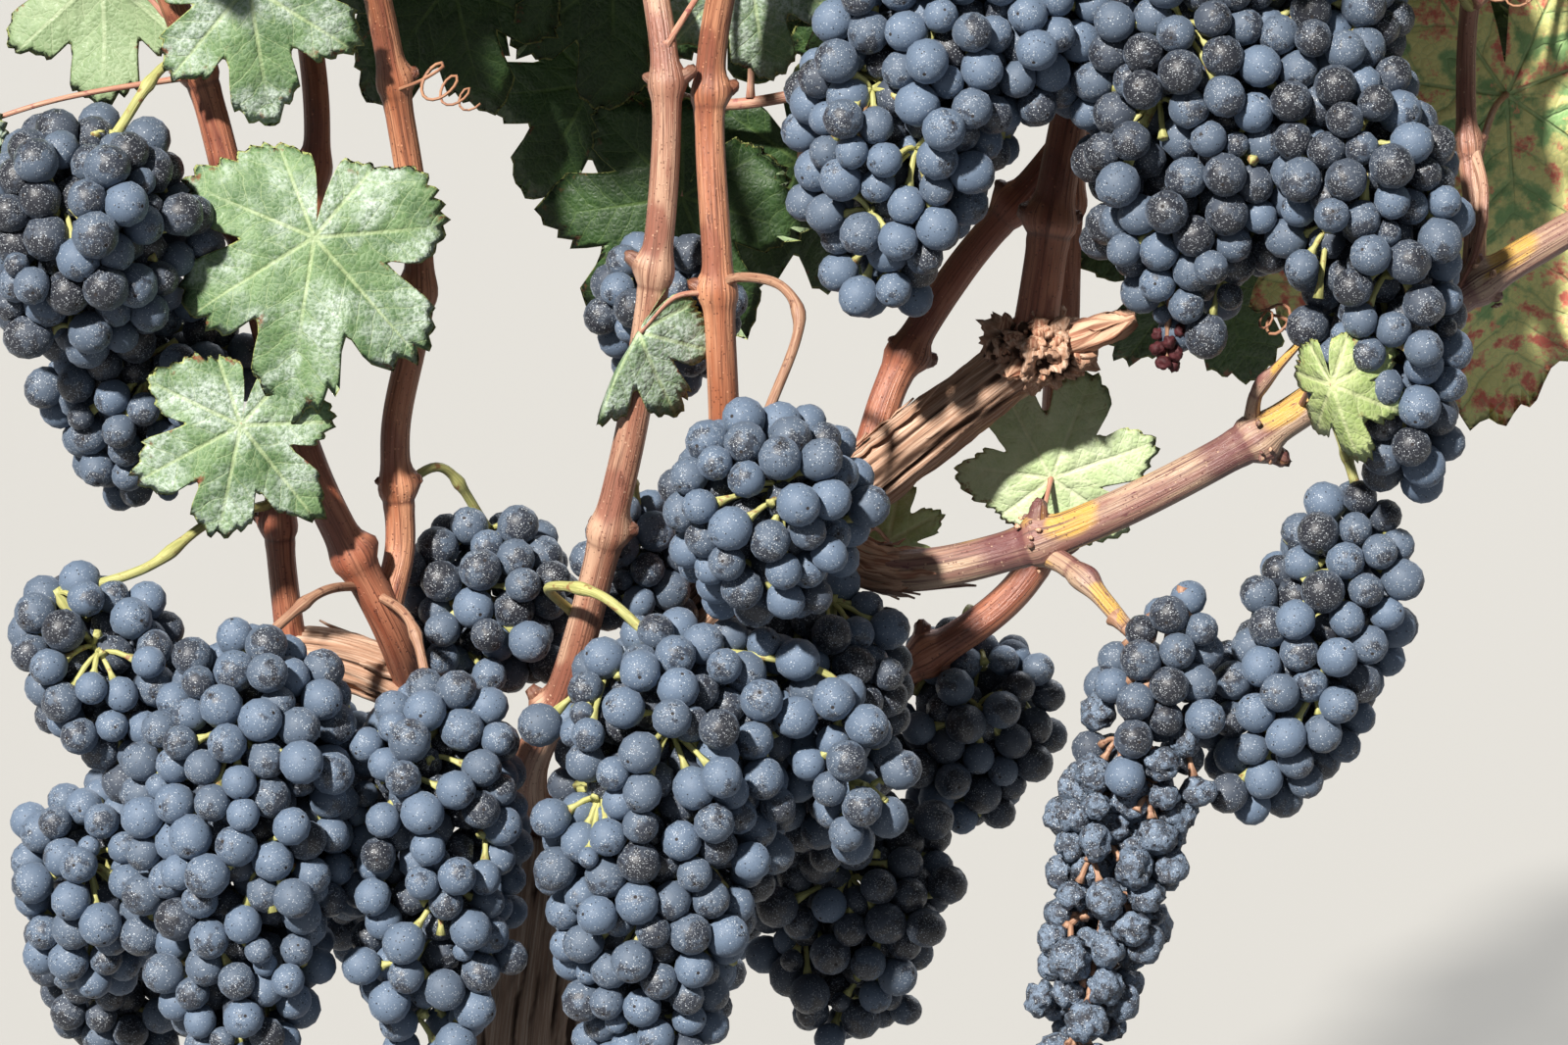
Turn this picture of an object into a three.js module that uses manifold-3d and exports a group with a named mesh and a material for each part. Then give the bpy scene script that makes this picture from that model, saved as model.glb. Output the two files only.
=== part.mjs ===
// A fruiting grapevine: a low leaning trunk that forks into two old arms, ten woody canes that rise from
// them, twenty-two hanging bunches of dark grapes, single leaves among the fruit, and a leafy top.
// Millimetres, +Z up. The origin is the middle of the flat cut under the trunk, at ground level.
// -Y is the side that the bunches are seen from, and +X runs to the right along the row.
import * as THREE from "three";
import { ConvexHull } from "three/addons/math/ConvexHull.js";
import Module from "manifold-3d";

// Driving dimensions
const CLEARANCE = 0.3; // gap between two pieces that meet
const TRUNK_FOOT_RADIUS = 27;
const TRUNK_TOP_RADIUS = 19;
const ROOT_FLARE = 0.55; // share that the lobes of the root flare add at the ground
const ROOT_LOBES = 5;
const FLARE_HEIGHT = 70;
const TRUNK_SIDES = 15;
const ARM_SIDES = 8;
const CANE_SIDES = 5;
const NODE_SPACING = 68; // distance between two buds on a cane
const NODE_SWELLING = 1.32;
const NODE_LENGTH = 9;
const STALK_RADIUS = 2.1; // stalk that a bunch hangs on
const BERRY_SPACING = 24.5; // grapes of the solid bunches, larger than life
const REAR_BERRY_SPACING = 28;
const BERRY_RISE = 0.14; // height of a grape's crown above its middle, as a share of the spacing
const VALLEY_DEPTH = 0.17; // depth of the valleys between grapes, as a share of the spacing
const CROWN_CORNERS = 3;
const CROWN_WIDTH = 0.62; // width of a grape's crown, as a share of the way to its valleys
const EGG_BLUNTNESS = 2.6; // 2 would be a plain ellipse
const END_ROUNDING = 22; // length over which a bunch closes at each end
const GOLDEN_ANGLE = Math.PI * (3 - Math.sqrt(5));
const LEAF_LENGTH = 92; // blade of a full-grown leaf, from its stalk to its tip
const LEAF_DROOP = 0.16; // how far a blade's rim curls under, as a share of its length
const LEAF_THICKNESS = 0.03; // at the middle of the blade, as a share of its length
const LEAF_STALK = 46; // from a shoot to a full-grown leaf
const SHOOT_RADIUS = 3.2;
const SHOOT_TIP_RADIUS = 1.4;
const LEAF_SPACING = 78; // distance between two leaf joints on a shoot of the leafy top

const wasm = await Module();
wasm.setup();

// A repeatable stream of numbers from 0 to 1.
function seeded(seed) {
  let state = seed >>> 0;
  return () => {
    state = (Math.imul(state, 1664525) + 1013904223) >>> 0;
    return state / 4294967296;
  };
}

const vector = (point) => new THREE.Vector3(...point);

function solidFrom(points, faces) {
  const vertProperties = new Float32Array(points.flatMap((p) => [p.x, p.y, p.z]));
  return new wasm.Manifold(
    new wasm.Mesh({ numProp: 3, vertProperties, triVerts: new Uint32Array(faces.flat()) }),
  );
}

// A closed tube along a smooth line through points. Each station says how far along it stands, from 0 to
// 1, and its radius there, which may be a function of the angle round the tube.
function tube(points, stations, sides) {
  const line = new THREE.CatmullRomCurve3(points.map(vector), false, "centripetal");
  const steps = 200;
  const frames = line.computeFrenetFrames(steps, false);
  const corners = [];
  const faces = [];
  for (const { along, radius } of stations) {
    const centre = line.getPointAt(along);
    const step = Math.round(along * steps);
    for (let side = 0; side < sides; side++) {
      const angle = (side / sides) * 2 * Math.PI;
      const reach = typeof radius === "function" ? radius(angle) : radius;
      corners.push(
        centre
          .clone()
          .addScaledVector(frames.normals[step], Math.cos(angle) * reach)
          .addScaledVector(frames.binormals[step], Math.sin(angle) * reach),
      );
    }
  }
  const last = (stations.length - 1) * sides;
  const foot = corners.push(line.getPointAt(stations[0].along)) - 1;
  const tip = corners.push(line.getPointAt(stations[stations.length - 1].along)) - 1;
  for (let side = 0; side < sides; side++) {
    const next = (side + 1) % sides;
    for (let ring = 0; ring < last; ring += sides)
      faces.push(
        [ring + side, ring + next, ring + sides + side],
        [ring + next, ring + sides + next, ring + sides + side],
      );
    faces.push([foot, next, side], [tip, last + side, last + next]);
  }
  return { corners, faces };
}

function tubeSolid(points, stations, sides) {
  const { corners, faces } = tube(points, stations, sides);
  return solidFrom(corners, faces);
}

// Stations of a cane, which swells at each bud.
function caneStations({ path, foot, tip }, grow) {
  const length = new THREE.CatmullRomCurve3(path.map(vector), false, "centripetal").getLength();
  const radiusAt = (along) => THREE.MathUtils.lerp(foot, tip, along) + grow;
  const stations = [{ along: 0, radius: radiusAt(0) }];
  for (let distance = NODE_SPACING * 0.6; distance < length - NODE_LENGTH * 2; distance += NODE_SPACING)
    for (const [offset, swelling] of [[-1, 1], [0, NODE_SWELLING], [1, 1]]) {
      const along = (distance + offset * NODE_LENGTH) / length;
      stations.push({ along, radius: radiusAt(along) * swelling });
    }
  stations.push({ along: 1, radius: radiusAt(1) });
  return stations;
}

const cane = (limb, grow) => tubeSolid(limb.path, caneStations(limb, grow), CANE_SIDES);

// The trunk: lobed where its roots enter the ground, ridged and slightly waisted above.
const trunkPath = [[0, 0, 0], [-4, 4, 110], [8, 16, 260], [-3, 30, 390], [7, 36, 492]];

function trunk(grow) {
  const alongs = [0, 0.05, 0.12, 0.22, 0.36, 0.5, 0.64, 0.78, 0.9, 1];
  const height = trunkPath[trunkPath.length - 1][2];
  const stations = alongs.map((along) => ({
    along,
    radius: (angle) => {
      const taper = THREE.MathUtils.lerp(TRUNK_FOOT_RADIUS, TRUNK_TOP_RADIUS, along);
      const flare = ROOT_FLARE * Math.exp((-along * height) / FLARE_HEIGHT);
      const ridge = 0.07 * Math.sin(3 * angle + along * 9);
      return taper * (1 + ridge + flare * (0.6 + 0.4 * Math.cos(ROOT_LOBES * angle))) + grow;
    },
  }));
  const { corners, faces } = tube(trunkPath, stations, TRUNK_SIDES);
  corners.slice(0, TRUNK_SIDES).forEach((corner) => corner.setZ(0));
  return solidFrom(corners, faces);
}

// Old arms, with the knob of pruned spurs at the head of the right one.
const arms = [
  {
    name: "right_arm",
    path: [[8, 36, 478], [30, 32, 520], [65, 25, 574], [110, 15, 614], [142, 10, 641], [176, 5, 669]],
    foot: 13,
    tip: 9,
    head: { radius: 15, stub: [[176, 5, 669], [190, 0, 674], [206, -5, 681]], stubRadius: 6 },
  },
  {
    name: "left_arm",
    path: [[5, 36, 478], [-10, 32, 508], [-36, 16, 546], [-62, 16, 558], [-84, 20, 560]],
    foot: 11,
    tip: 8,
  },
];

function arm({ path, foot, tip, head }, grow) {
  const ridged = (radius) => (angle) => radius * (1 + 0.08 * Math.sin(3 * angle)) + grow;
  const alongs = [0, 0.15, 0.3, 0.45, 0.6, 0.75, 0.9, 1];
  const stations = alongs.map((along) => ({
    along,
    radius: ridged(THREE.MathUtils.lerp(foot, tip, along)),
  }));
  const limb = tubeSolid(path, stations, ARM_SIDES);
  if (!head) return limb;
  const knob = new THREE.IcosahedronGeometry(head.radius + grow, 1);
  const end = path[path.length - 1];
  const knobSolid = roundSolid(knob, end, [1.1, 0.95, 0.8]);
  const stub = tubeSolid(
    head.stub,
    [0, 0.5, 1].map((along) => ({ along, radius: head.stubRadius * (1 - 0.2 * along) + grow })),
    CANE_SIDES,
  );
  return limb.add(knobSolid).add(stub);
}

// A three.js round geometry, stretched and moved, as a solid.
function roundSolid(geometry, at, stretch) {
  const position = geometry.getAttribute("position");
  const corners = [];
  const faces = [];
  const known = new Map();
  for (let index = 0; index < position.count; index++) {
    const corner = new THREE.Vector3().fromBufferAttribute(position, index);
    const key = corner.toArray().map((value) => value.toFixed(4)).join();
    if (!known.has(key)) {
      known.set(key, corners.length);
      corners.push(corner.multiply(vector(stretch)).add(vector(at)));
    }
    if (index % 3 === 0) faces.push([]);
    faces[faces.length - 1].push(known.get(key));
  }
  return solidFrom(corners, faces);
}

// Canes, from where they leave their arm to where they enter the leafy top.
const canes = [
  {
    name: "left_outer_cane",
    foot: 6.6,
    tip: 4.4,
    path: [[-37, 15, 548], [-44, -5, 575], [-69, -12, 630], [-92, -5, 713], [-105, 0, 763], [-135, -15, 850]],
  },
  {
    name: "left_rear_cane",
    foot: 5,
    tip: 4,
    path: [[-80, 19, 560], [-83, 15, 611], [-76, 17, 680], [-68, 20, 745], [-90, 75, 852]],
  },
  {
    name: "left_inner_cane",
    foot: 5.2,
    tip: 4.4,
    path: [[-46, -6, 580], [-41, 4, 600], [-42, 6, 640], [-33, 4, 690], [-40, 5, 756], [-56, -20, 850]],
  },
  {
    name: "middle_left_cane",
    foot: 6.4,
    tip: 4,
    path: [[6, 34, 488], [2, 12, 519], [17, -10, 559], [28, -20, 600], [42, -25, 664], [51, -20, 764],
      [32, 30, 850]],
  },
  {
    name: "middle_right_cane",
    foot: 5.4,
    tip: 4.6,
    path: [[65, 25, 576], [70, -10, 604], [70, -24, 650], [68, -25, 700], [66, -12, 770], [84, -30, 850]],
  },
  {
    name: "head_cane",
    foot: 7.4,
    tip: 5,
    path: [[174, 5, 668], [181, 12, 716], [188, 18, 756], [192, 5, 800], [200, -25, 850]],
  },
  {
    name: "crossing_cane",
    foot: 6,
    tip: 4.4,
    path: [[117, 16, 622], [128, 28, 655], [150, 38, 690], [182, 44, 728], [215, 62, 770], [245, 95, 850]],
  },
  {
    name: "right_cane",
    foot: 7.2,
    tip: 4.8,
    path: [[100, 18, 604], [124, 0, 594], [174, -15, 606], [247, -25, 644], [321, -15, 694], [390, 0, 735],
      [455, 0, 800]],
  },
  {
    name: "right_upright_shoot",
    foot: 4,
    tip: 3.2,
    path: [[320, -15, 694], [321, -8, 715], [319, 5, 745], [320, 8, 790], [332, -20, 850]],
  },
  {
    name: "low_rear_cane",
    foot: 6.8,
    tip: 4.4,
    path: [[9, 38, 486], [60, 52, 508], [125, 58, 540], [178, 66, 580], [188, 84, 650], [196, 90, 740],
      [262, 108, 850]],
  },
];

// Half a leaf's outline round the joint of its stalk: degrees from the tip, and reach as a share of the
// length. The first has only the lobes, and the second has the hollows between them too.
const LOBES = [[0, 1], [48, 0.9], [103, 0.76], [150, 0.54]];
const LOBES_AND_HOLLOWS = [[0, 1], [27, 0.7], [50, 0.9], [78, 0.62], [104, 0.76], [150, 0.54]];
const STALK_NOTCH = 0.14;
const BLADE_MIDDLE = 0.22;

// One closed thin blade, thickest at its middle.
function blade({ base, tipward, facing, length, outline = LOBES_AND_HOLLOWS }, grow) {
  const forward = vector(tipward).normalize();
  const across = new THREE.Vector3().crossVectors(vector(facing), forward).normalize();
  const up = new THREE.Vector3().crossVectors(forward, across);
  const halfThickness = (LEAF_THICKNESS / 2) * length + grow;
  const place = (lengthwise, sideways, height) =>
    vector(base)
      .addScaledVector(forward, lengthwise)
      .addScaledVector(across, sideways)
      .addScaledVector(up, height);
  const half = outline.map(([degrees, share]) => [THREE.MathUtils.degToRad(degrees), share * length]);
  const mirrored = half.slice(1).reverse().map(([angle, reach]) => [-angle, reach]);
  const rim = [...half, [Math.PI, STALK_NOTCH * length], ...mirrored];
  const lifts = grow > 0 ? [grow, -grow] : [0];
  const corners = lifts.flatMap((lift) =>
    rim.map(([angle, reach]) => {
      const height = lift - (LEAF_DROOP * reach * reach) / length;
      return place(Math.cos(angle) * (reach + grow), Math.sin(angle) * (reach + grow), height);
    }),
  );
  const lower = corners.length - rim.length;
  const top = corners.push(place(BLADE_MIDDLE * length, 0, halfThickness)) - 1;
  const under = corners.push(place(BLADE_MIDDLE * length, 0, -halfThickness)) - 1;
  const faces = rim.flatMap((_, index) => {
    const next = (index + 1) % rim.length;
    const edge = lower ? [[index, lower + index, next], [next, lower + index, lower + next]] : [];
    return [[top, index, next], [under, lower + next, lower + index], ...edge];
  });
  return solidFrom(corners, faces);
}

// A leaf stalk: a three-sided twig from the wood to well inside the blade.
function leafStalk({ from, base, tipward, length, bend = [0, 0, 6] }, grow) {
  const end = vector(base).add(vector(tipward).setLength(BLADE_MIDDLE * length));
  const middle = vector(from).lerp(vector(base), 0.55).add(vector(bend));
  const radius = Math.max(1.1, 0.017 * length) + grow;
  return tubeSolid(
    [from, middle.toArray(), base, end.toArray()],
    [0, 0.5, 1].map((along) => ({ along, radius })),
    3,
  );
}

const leaf = (spec, grow) => blade(spec, grow).add(leafStalk(spec, grow));

// Leaves that stand alone among the bunches: from is where the stalk leaves its cane, base where it meets
// the blade, and the blade then points tipward with its upper side facing.
const leaves = [
  {
    name: "left_large_leaf",
    from: [-70, 19, 730],
    base: [-65, -32, 713],
    tipward: [-0.15, -0.25, -0.95],
    facing: [0, -1, 0.2],
    length: 56,
  },
  {
    name: "left_small_leaf",
    from: [-78, -12, 660],
    base: [-90, -38, 651],
    tipward: [-0.2, -0.2, -0.95],
    facing: [0.1, -1, 0.2],
    length: 41,
  },
  {
    name: "left_top_leaf",
    from: [-107, -2, 770],
    base: [-138, 8, 796],
    tipward: [0.05, -0.05, -1],
    facing: [0.2, 1, 0.1],
    length: 43,
  },
  {
    name: "left_upper_leaf",
    from: [-104, 0, 765],
    base: [-86, -22, 795],
    tipward: [0.15, -0.15, -0.98],
    facing: [0, -1, 0.2],
    length: 43,
  },
  {
    name: "leaf_behind_right_cane",
    from: [174, -15, 606],
    base: [182, 36, 622],
    tipward: [0.35, 0.15, 0.93],
    facing: [0.1, -1, 0.1],
    length: 37,
    bend: [0, 4, -4],
  },
  {
    name: "autumn_leaf",
    from: [321, -2, 730],
    base: [340, 62, 752],
    tipward: [0.1, 0.05, -0.99],
    facing: [0.1, -1, 0.15],
    length: 102,
  },
  {
    name: "centre_top_leaf",
    from: [51, -20, 775],
    base: [78, 12, 800],
    tipward: [0.15, 0, -0.98],
    facing: [0, -1, 0.2],
    length: 40,
  },
  {
    name: "right_top_leaf",
    from: [320, 8, 780],
    base: [346, 104, 812],
    tipward: [0.1, 0.1, -0.98],
    facing: [0, -1, 0.2],
    length: 72,
  },
  {
    name: "rear_low_leaf",
    from: [190, 86, 690],
    base: [240, 104, 690],
    tipward: [0.35, 0.1, -0.93],
    facing: [0, -1, 0.2],
    length: 56,
  },
];

// A bunch is an egg-shaped swarm of grapes round its main stem. The grapes sit on a spiral over a convex
// egg, and a hull over their middles tells which of them touch.
function grapeMiddles({ width, narrow, spacing }, length, random) {
  const steps = 60;
  const eggRadius = (share) => {
    const across = 2 * share - 1;
    const roundness = Math.sqrt(Math.max(0, 1 - Math.pow(Math.abs(across), EGG_BLUNTNESS)));
    return (width / 2) * (1 - narrow * across) * roundness;
  };
  const areas = [0];
  for (let step = 0; step < steps; step++) {
    const [near, far] = [eggRadius(step / steps), eggRadius((step + 1) / steps)];
    areas.push(areas[step] + Math.PI * (near + far) * Math.hypot(length / steps, far - near));
  }
  const count = Math.round(areas[steps] / (0.87 * spacing * spacing));
  return Array.from({ length: count }, (_, grape) => {
    const area = ((grape + 0.5) / count) * areas[steps];
    const step = areas.findIndex((value) => value > area) - 1;
    const share = (step + (area - areas[step]) / (areas[step + 1] - areas[step])) / steps;
    const angle = grape * GOLDEN_ANGLE + 0.2 * (random() - 0.5);
    const reach = eggRadius(share);
    return new THREE.Vector3(Math.cos(angle) * reach, Math.sin(angle) * reach, share * length);
  });
}

// The direction away from the egg's middle line, with round ends.
function outwardFrom(point, length) {
  const margin = Math.min(length * 0.3, END_ROUNDING);
  const height = THREE.MathUtils.clamp(point.z, margin, length - margin);
  return point.clone().sub(new THREE.Vector3(0, 0, height)).normalize();
}

// Each grape becomes a domed cell between the valleys that it shares with its neighbours.
function grapeCells({ top, tip, bow = [0, 0, 0], ...shape }, grow) {
  const { seed, spacing, ...egg } = { narrow: 0.3, spacing: BERRY_SPACING, seed: 1, ...shape };
  const random = seeded(seed);
  const middle = vector(top).lerp(vector(tip), 0.5).add(vector(bow));
  const line = new THREE.QuadraticBezierCurve3(vector(top), middle, vector(tip));
  const length = line.getLength();
  const hull = new ConvexHull().setFromPoints(grapeMiddles({ spacing, ...egg }, length, random));
  const valleyOf = new Map();
  const edgeTo = new Map(); // one hull edge that ends at each grape
  const corners = hull.faces.map((face, index) => {
    valleyOf.set(face, index);
    const valley = new THREE.Vector3();
    let edge = face.edge;
    for (let side = 0; side < 3; side++) {
      edgeTo.set(edge.head().point, edge);
      valley.addScaledVector(edge.head().point, 1 / 3);
      edge = edge.next;
    }
    return valley.addScaledVector(outwardFrom(valley, length), grow - spacing * VALLEY_DEPTH);
  });
  const faces = [];
  for (const [centre, first] of edgeTo) {
    const rim = [];
    let edge = first;
    do {
      rim.unshift(valleyOf.get(edge.face));
      edge = edge.next.twin;
    } while (edge !== first);
    const outward = outwardFrom(centre, length);
    const rise = spacing * (BERRY_RISE + 0.08 * random()) + grow;
    const crownAt = (valley) => {
      const flat = corners[valley].clone().sub(centre).projectOnPlane(outward);
      return centre.clone().addScaledVector(flat, CROWN_WIDTH).addScaledVector(outward, rise);
    };
    const count = Math.min(CROWN_CORNERS, rim.length);
    const starts = Array.from({ length: count }, (_, step) => Math.round((step * rim.length) / count));
    const crown = starts.map((start) => corners.push(crownAt(rim[start])) - 1);
    let current = count - 1;
    rim.forEach((valley, place) => {
      const next = (current + 1) % count;
      if (starts[next] === place) {
        faces.push([valley, crown[next], crown[current]]);
        current = next;
      }
      faces.push([valley, rim[(place + 1) % rim.length], crown[current]]);
    });
    for (let step = 1; step + 1 < count; step++) faces.push([crown[0], crown[step], crown[step + 1]]);
  }
  return solidFrom(bent(corners, line, length), faces);
}

// Straight egg coordinates carried to the bent line of the bunch, top first.
function bent(corners, line, length) {
  return corners.map((corner) => {
    const share = THREE.MathUtils.clamp(corner.z / length, 0, 1);
    const along = line.getTangentAt(share);
    const side = new THREE.Vector3(1, 0, 0).projectOnPlane(along).normalize();
    const other = new THREE.Vector3().crossVectors(along, side);
    return line
      .getPointAt(share)
      .addScaledVector(along, corner.z - share * length)
      .addScaledVector(side, corner.x)
      .addScaledVector(other, corner.y);
  });
}

// A bunch with its side wing, if it has one, and the stalk that it hangs on.
function bunch({ wing, stalk, ...main }, grow) {
  let solid = grapeCells(main, grow);
  if (wing) solid = solid.add(grapeCells({ narrow: 0.15, seed: main.seed + 50, ...wing }, grow));
  const inside = vector(main.top).lerp(vector(main.tip), 0.3);
  const stations = [0, 0.4, 0.7, 1].map((along) => ({ along, radius: STALK_RADIUS + grow }));
  return solid.add(tubeSolid([...stalk, main.top, inside.toArray()], stations, CANE_SIDES));
}

// Bunches, nearest to the viewer first. Each stalk starts in the wood that bears it.
const bunches = [
  {
    name: "front_centre_bunch",
    top: [84, -64, 660],
    tip: [84, -66, 594],
    width: 62,
    narrow: 0.1,
    stalk: [[68, -25, 697], [88, -28, 704], [92, -48, 684]],
  },
  {
    name: "centre_long_bunch",
    top: [50, -60, 586],
    tip: [44, -62, 425],
    width: 66,
    wing: { top: [80, -52, 580], tip: [84, -50, 520], width: 44 },
    stalk: [[70, -12, 602], [60, -36, 606]],
  },
  {
    name: "left_long_bunch",
    top: [-88, -50, 582],
    tip: [-92, -58, 425],
    width: 62,
    stalk: [[-52, -8, 590], [-66, -30, 592]],
  },
  {
    name: "inner_left_bunch",
    top: [-28, -40, 562],
    tip: [-27, -46, 432],
    width: 54,
    stalk: [[-50, -8, 588], [-36, -26, 582]],
  },
  {
    name: "top_centre_bunch",
    top: [142, -34, 812],
    tip: [118, -40, 690],
    width: 62,
    wing: { top: [166, -32, 812], tip: [176, -32, 756], width: 52 },
    stalk: [[192, 6, 800], [172, -14, 828]],
  },
  {
    name: "top_right_bunch",
    top: [226, -38, 812],
    tip: [222, -45, 680],
    width: 66,
    wing: { top: [262, -34, 818], tip: [258, -36, 730], width: 50 },
    stalk: [[192, 5, 800], [214, -16, 834]],
  },
  {
    name: "right_long_bunch",
    top: [271, -60, 775],
    tip: [301, -62, 632],
    width: 58,
    bow: [4, 0, 0],
    stalk: [[320, 8, 784], [300, -24, 806], [284, -46, 800]],
  },
  {
    name: "shrivelled_bunch",
    top: [222, -55, 600],
    tip: [186, -70, 430],
    width: 38,
    narrow: 0.12,
    bow: [-6, 0, 0],
    stalk: [[176, -15, 606], [192, -28, 600], [210, -44, 612]],
  },
  {
    name: "lower_right_bunch",
    top: [283, -38, 628],
    tip: [243, -46, 522],
    width: 48,
    narrow: 0.05,
    bow: [4, 0, -6],
    stalk: [[270, -23, 659], [276, -26, 644]],
  },
  {
    name: "left_wing_bunch",
    top: [-154, -32, 594],
    tip: [-118, -36, 536],
    width: 46,
    narrow: 0,
    stalk: [[-83, 15, 614], [-100, -4, 616], [-124, -20, 604]],
  },
  {
    name: "left_top_bunch",
    top: [-130, -30, 748],
    tip: [-150, -30, 678],
    width: 66,
    narrow: 0.15,
    stalk: [[-105, 0, 763], [-114, -12, 768]],
  },
  {
    name: "left_second_bunch",
    top: [-125, 2, 688],
    tip: [-128, 4, 616],
    spacing: REAR_BERRY_SPACING,
    width: 58,
    stalk: [[-92, -5, 713], [-106, -3, 706]],
  },
  {
    name: "lower_left_bunch",
    top: [-134, -18, 522],
    tip: [-150, -22, 452],
    width: 56,
    narrow: 0.2,
    stalk: [[-82, 20, 560], [-104, 4, 552]],
  },
  {
    name: "rear_left_bunch",
    top: [-12, 34, 602],
    tip: [-14, 26, 545],
    spacing: REAR_BERRY_SPACING,
    width: 56,
    narrow: 0.1,
    stalk: [[-42, 6, 620], [-28, 16, 626]],
  },
  {
    name: "small_centre_bunch",
    top: [40, 10, 612],
    tip: [39, 8, 572],
    width: 36,
    narrow: 0.1,
    stalk: [[33, -22, 624], [38, -6, 626]],
  },
  {
    name: "upper_centre_bunch",
    top: [44, 14, 700],
    tip: [58, 20, 656],
    width: 44,
    narrow: 0.1,
    stalk: [[47, -24, 708], [46, -8, 714]],
  },
  {
    name: "right_centre_bunch",
    top: [106, -22, 590],
    tip: [100, -14, 496],
    spacing: REAR_BERRY_SPACING,
    width: 50,
    stalk: [[112, 10, 600], [112, -6, 602]],
  },
  {
    name: "right_rear_bunch",
    top: [160, 76, 552],
    tip: [150, 76, 478],
    spacing: REAR_BERRY_SPACING,
    width: 50,
    stalk: [[152, 60, 556], [156, 70, 564]],
  },
  {
    name: "low_right_rear_bunch",
    top: [112, 34, 506],
    tip: [112, 36, 412],
    spacing: REAR_BERRY_SPACING,
    width: 58,
    stalk: [[110, 57, 533], [110, 48, 520]],
  },
  {
    name: "dark_left_bunch",
    top: [-136, 42, 488],
    tip: [-146, 36, 404],
    spacing: REAR_BERRY_SPACING,
    width: 54,
    stalk: [[-84, 22, 560], [-112, 36, 520]],
  },
  {
    name: "rear_left_low_bunch",
    top: [-62, 46, 528],
    tip: [-58, 48, 440],
    spacing: REAR_BERRY_SPACING,
    width: 54,
    stalk: [[-64, 18, 558], [-66, 38, 546]],
  },
  {
    name: "rear_middle_low_bunch",
    top: [56, 84, 494],
    tip: [52, 84, 418],
    spacing: REAR_BERRY_SPACING,
    width: 50,
    stalk: [[62, 53, 509], [60, 74, 508]],
  },
];

// Leafy top: each cane runs on into one shoot, which keeps to the space nearer to it than to the others.
const tops = [
  { name: "left_outer_top", bearer: "left_outer_cane", path: [[-200, -44, 1130], [-214, -44, 1390]] },
  { name: "left_rear_top", bearer: "left_rear_cane", path: [[-128, 125, 1120], [-136, 130, 1370]] },
  { name: "left_inner_top", bearer: "left_inner_cane", path: [[-78, -62, 1130], [-84, -66, 1440]] },
  { name: "middle_left_top", bearer: "middle_left_cane", path: [[10, 122, 1120], [8, 128, 1420]] },
  { name: "middle_right_top", bearer: "middle_right_cane", path: [[74, -66, 1130], [72, -66, 1400]] },
  { name: "head_top", bearer: "head_cane", path: [[212, -68, 1130], [214, -70, 1430]] },
  { name: "crossing_top", bearer: "crossing_cane", path: [[156, 128, 1120], [150, 130, 1400]] },
  { name: "right_upright_top", bearer: "right_upright_shoot", path: [[350, -66, 1110], [354, -66, 1360]] },
  { name: "right_end_top", bearer: "right_cane", path: [[462, -6, 1060], [456, -10, 1340]] },
  { name: "low_rear_top", bearer: "low_rear_cane", path: [[300, 126, 1110], [290, 130, 1390]] },
];

// The shoot's line starts just clear of its cane's end and first runs straight on.
function shootLine({ bearer, path }) {
  const wood = canes.find(({ name }) => name === bearer).path.map(vector);
  const end = wood[wood.length - 1];
  const heading = end.clone().sub(wood[wood.length - 2]).normalize();
  const start = end.clone().addScaledVector(heading, CLEARANCE);
  const straight = start.clone().addScaledVector(heading, 40);
  return new THREE.CatmullRomCurve3([start, straight, ...path.map(vector)], false, "centripetal");
}

const shootLines = tops.map(shootLine);
const shootPoints = shootLines.map((line) => line.getSpacedPoints(24));
const nearest = (points, place) => Math.min(...points.map((point) => point.distanceTo(place)));

function isInOwnSpace(index, place) {
  const own = nearest(shootPoints[index], place);
  return shootPoints.every((points, other) => other === index || nearest(points, place) > own);
}

// The leaves at one joint of a shoot: the main leaf, and two smaller ones from its side buds.
const JOINT_LEAVES = [
  { size: 1, rise: 24 },
  { size: 0.8, rise: 4 },
  { size: 0.74, rise: -12 },
];

function topLeafSpec(at, heading, number, along, random) {
  const { size, rise } = JOINT_LEAVES[number];
  const angle = heading + (number * 2 * Math.PI) / JOINT_LEAVES.length + 0.5 * (random() - 0.5);
  const outward = new THREE.Vector3(Math.cos(angle), Math.sin(angle), 0);
  const stalk = LEAF_STALK * size * (0.83 + 0.34 * random());
  return {
    base: at.clone().addScaledVector(outward, stalk).add(new THREE.Vector3(0, 0, rise)),
    tipward: outward.clone().setZ(-0.6 - 0.8 * random()).normalize(),
    facing: outward.clone().multiplyScalar(0.8).setZ(1),
    length: LEAF_LENGTH * size * (0.86 + 0.24 * random()) * (1 - 0.25 * along),
  };
}

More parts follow.
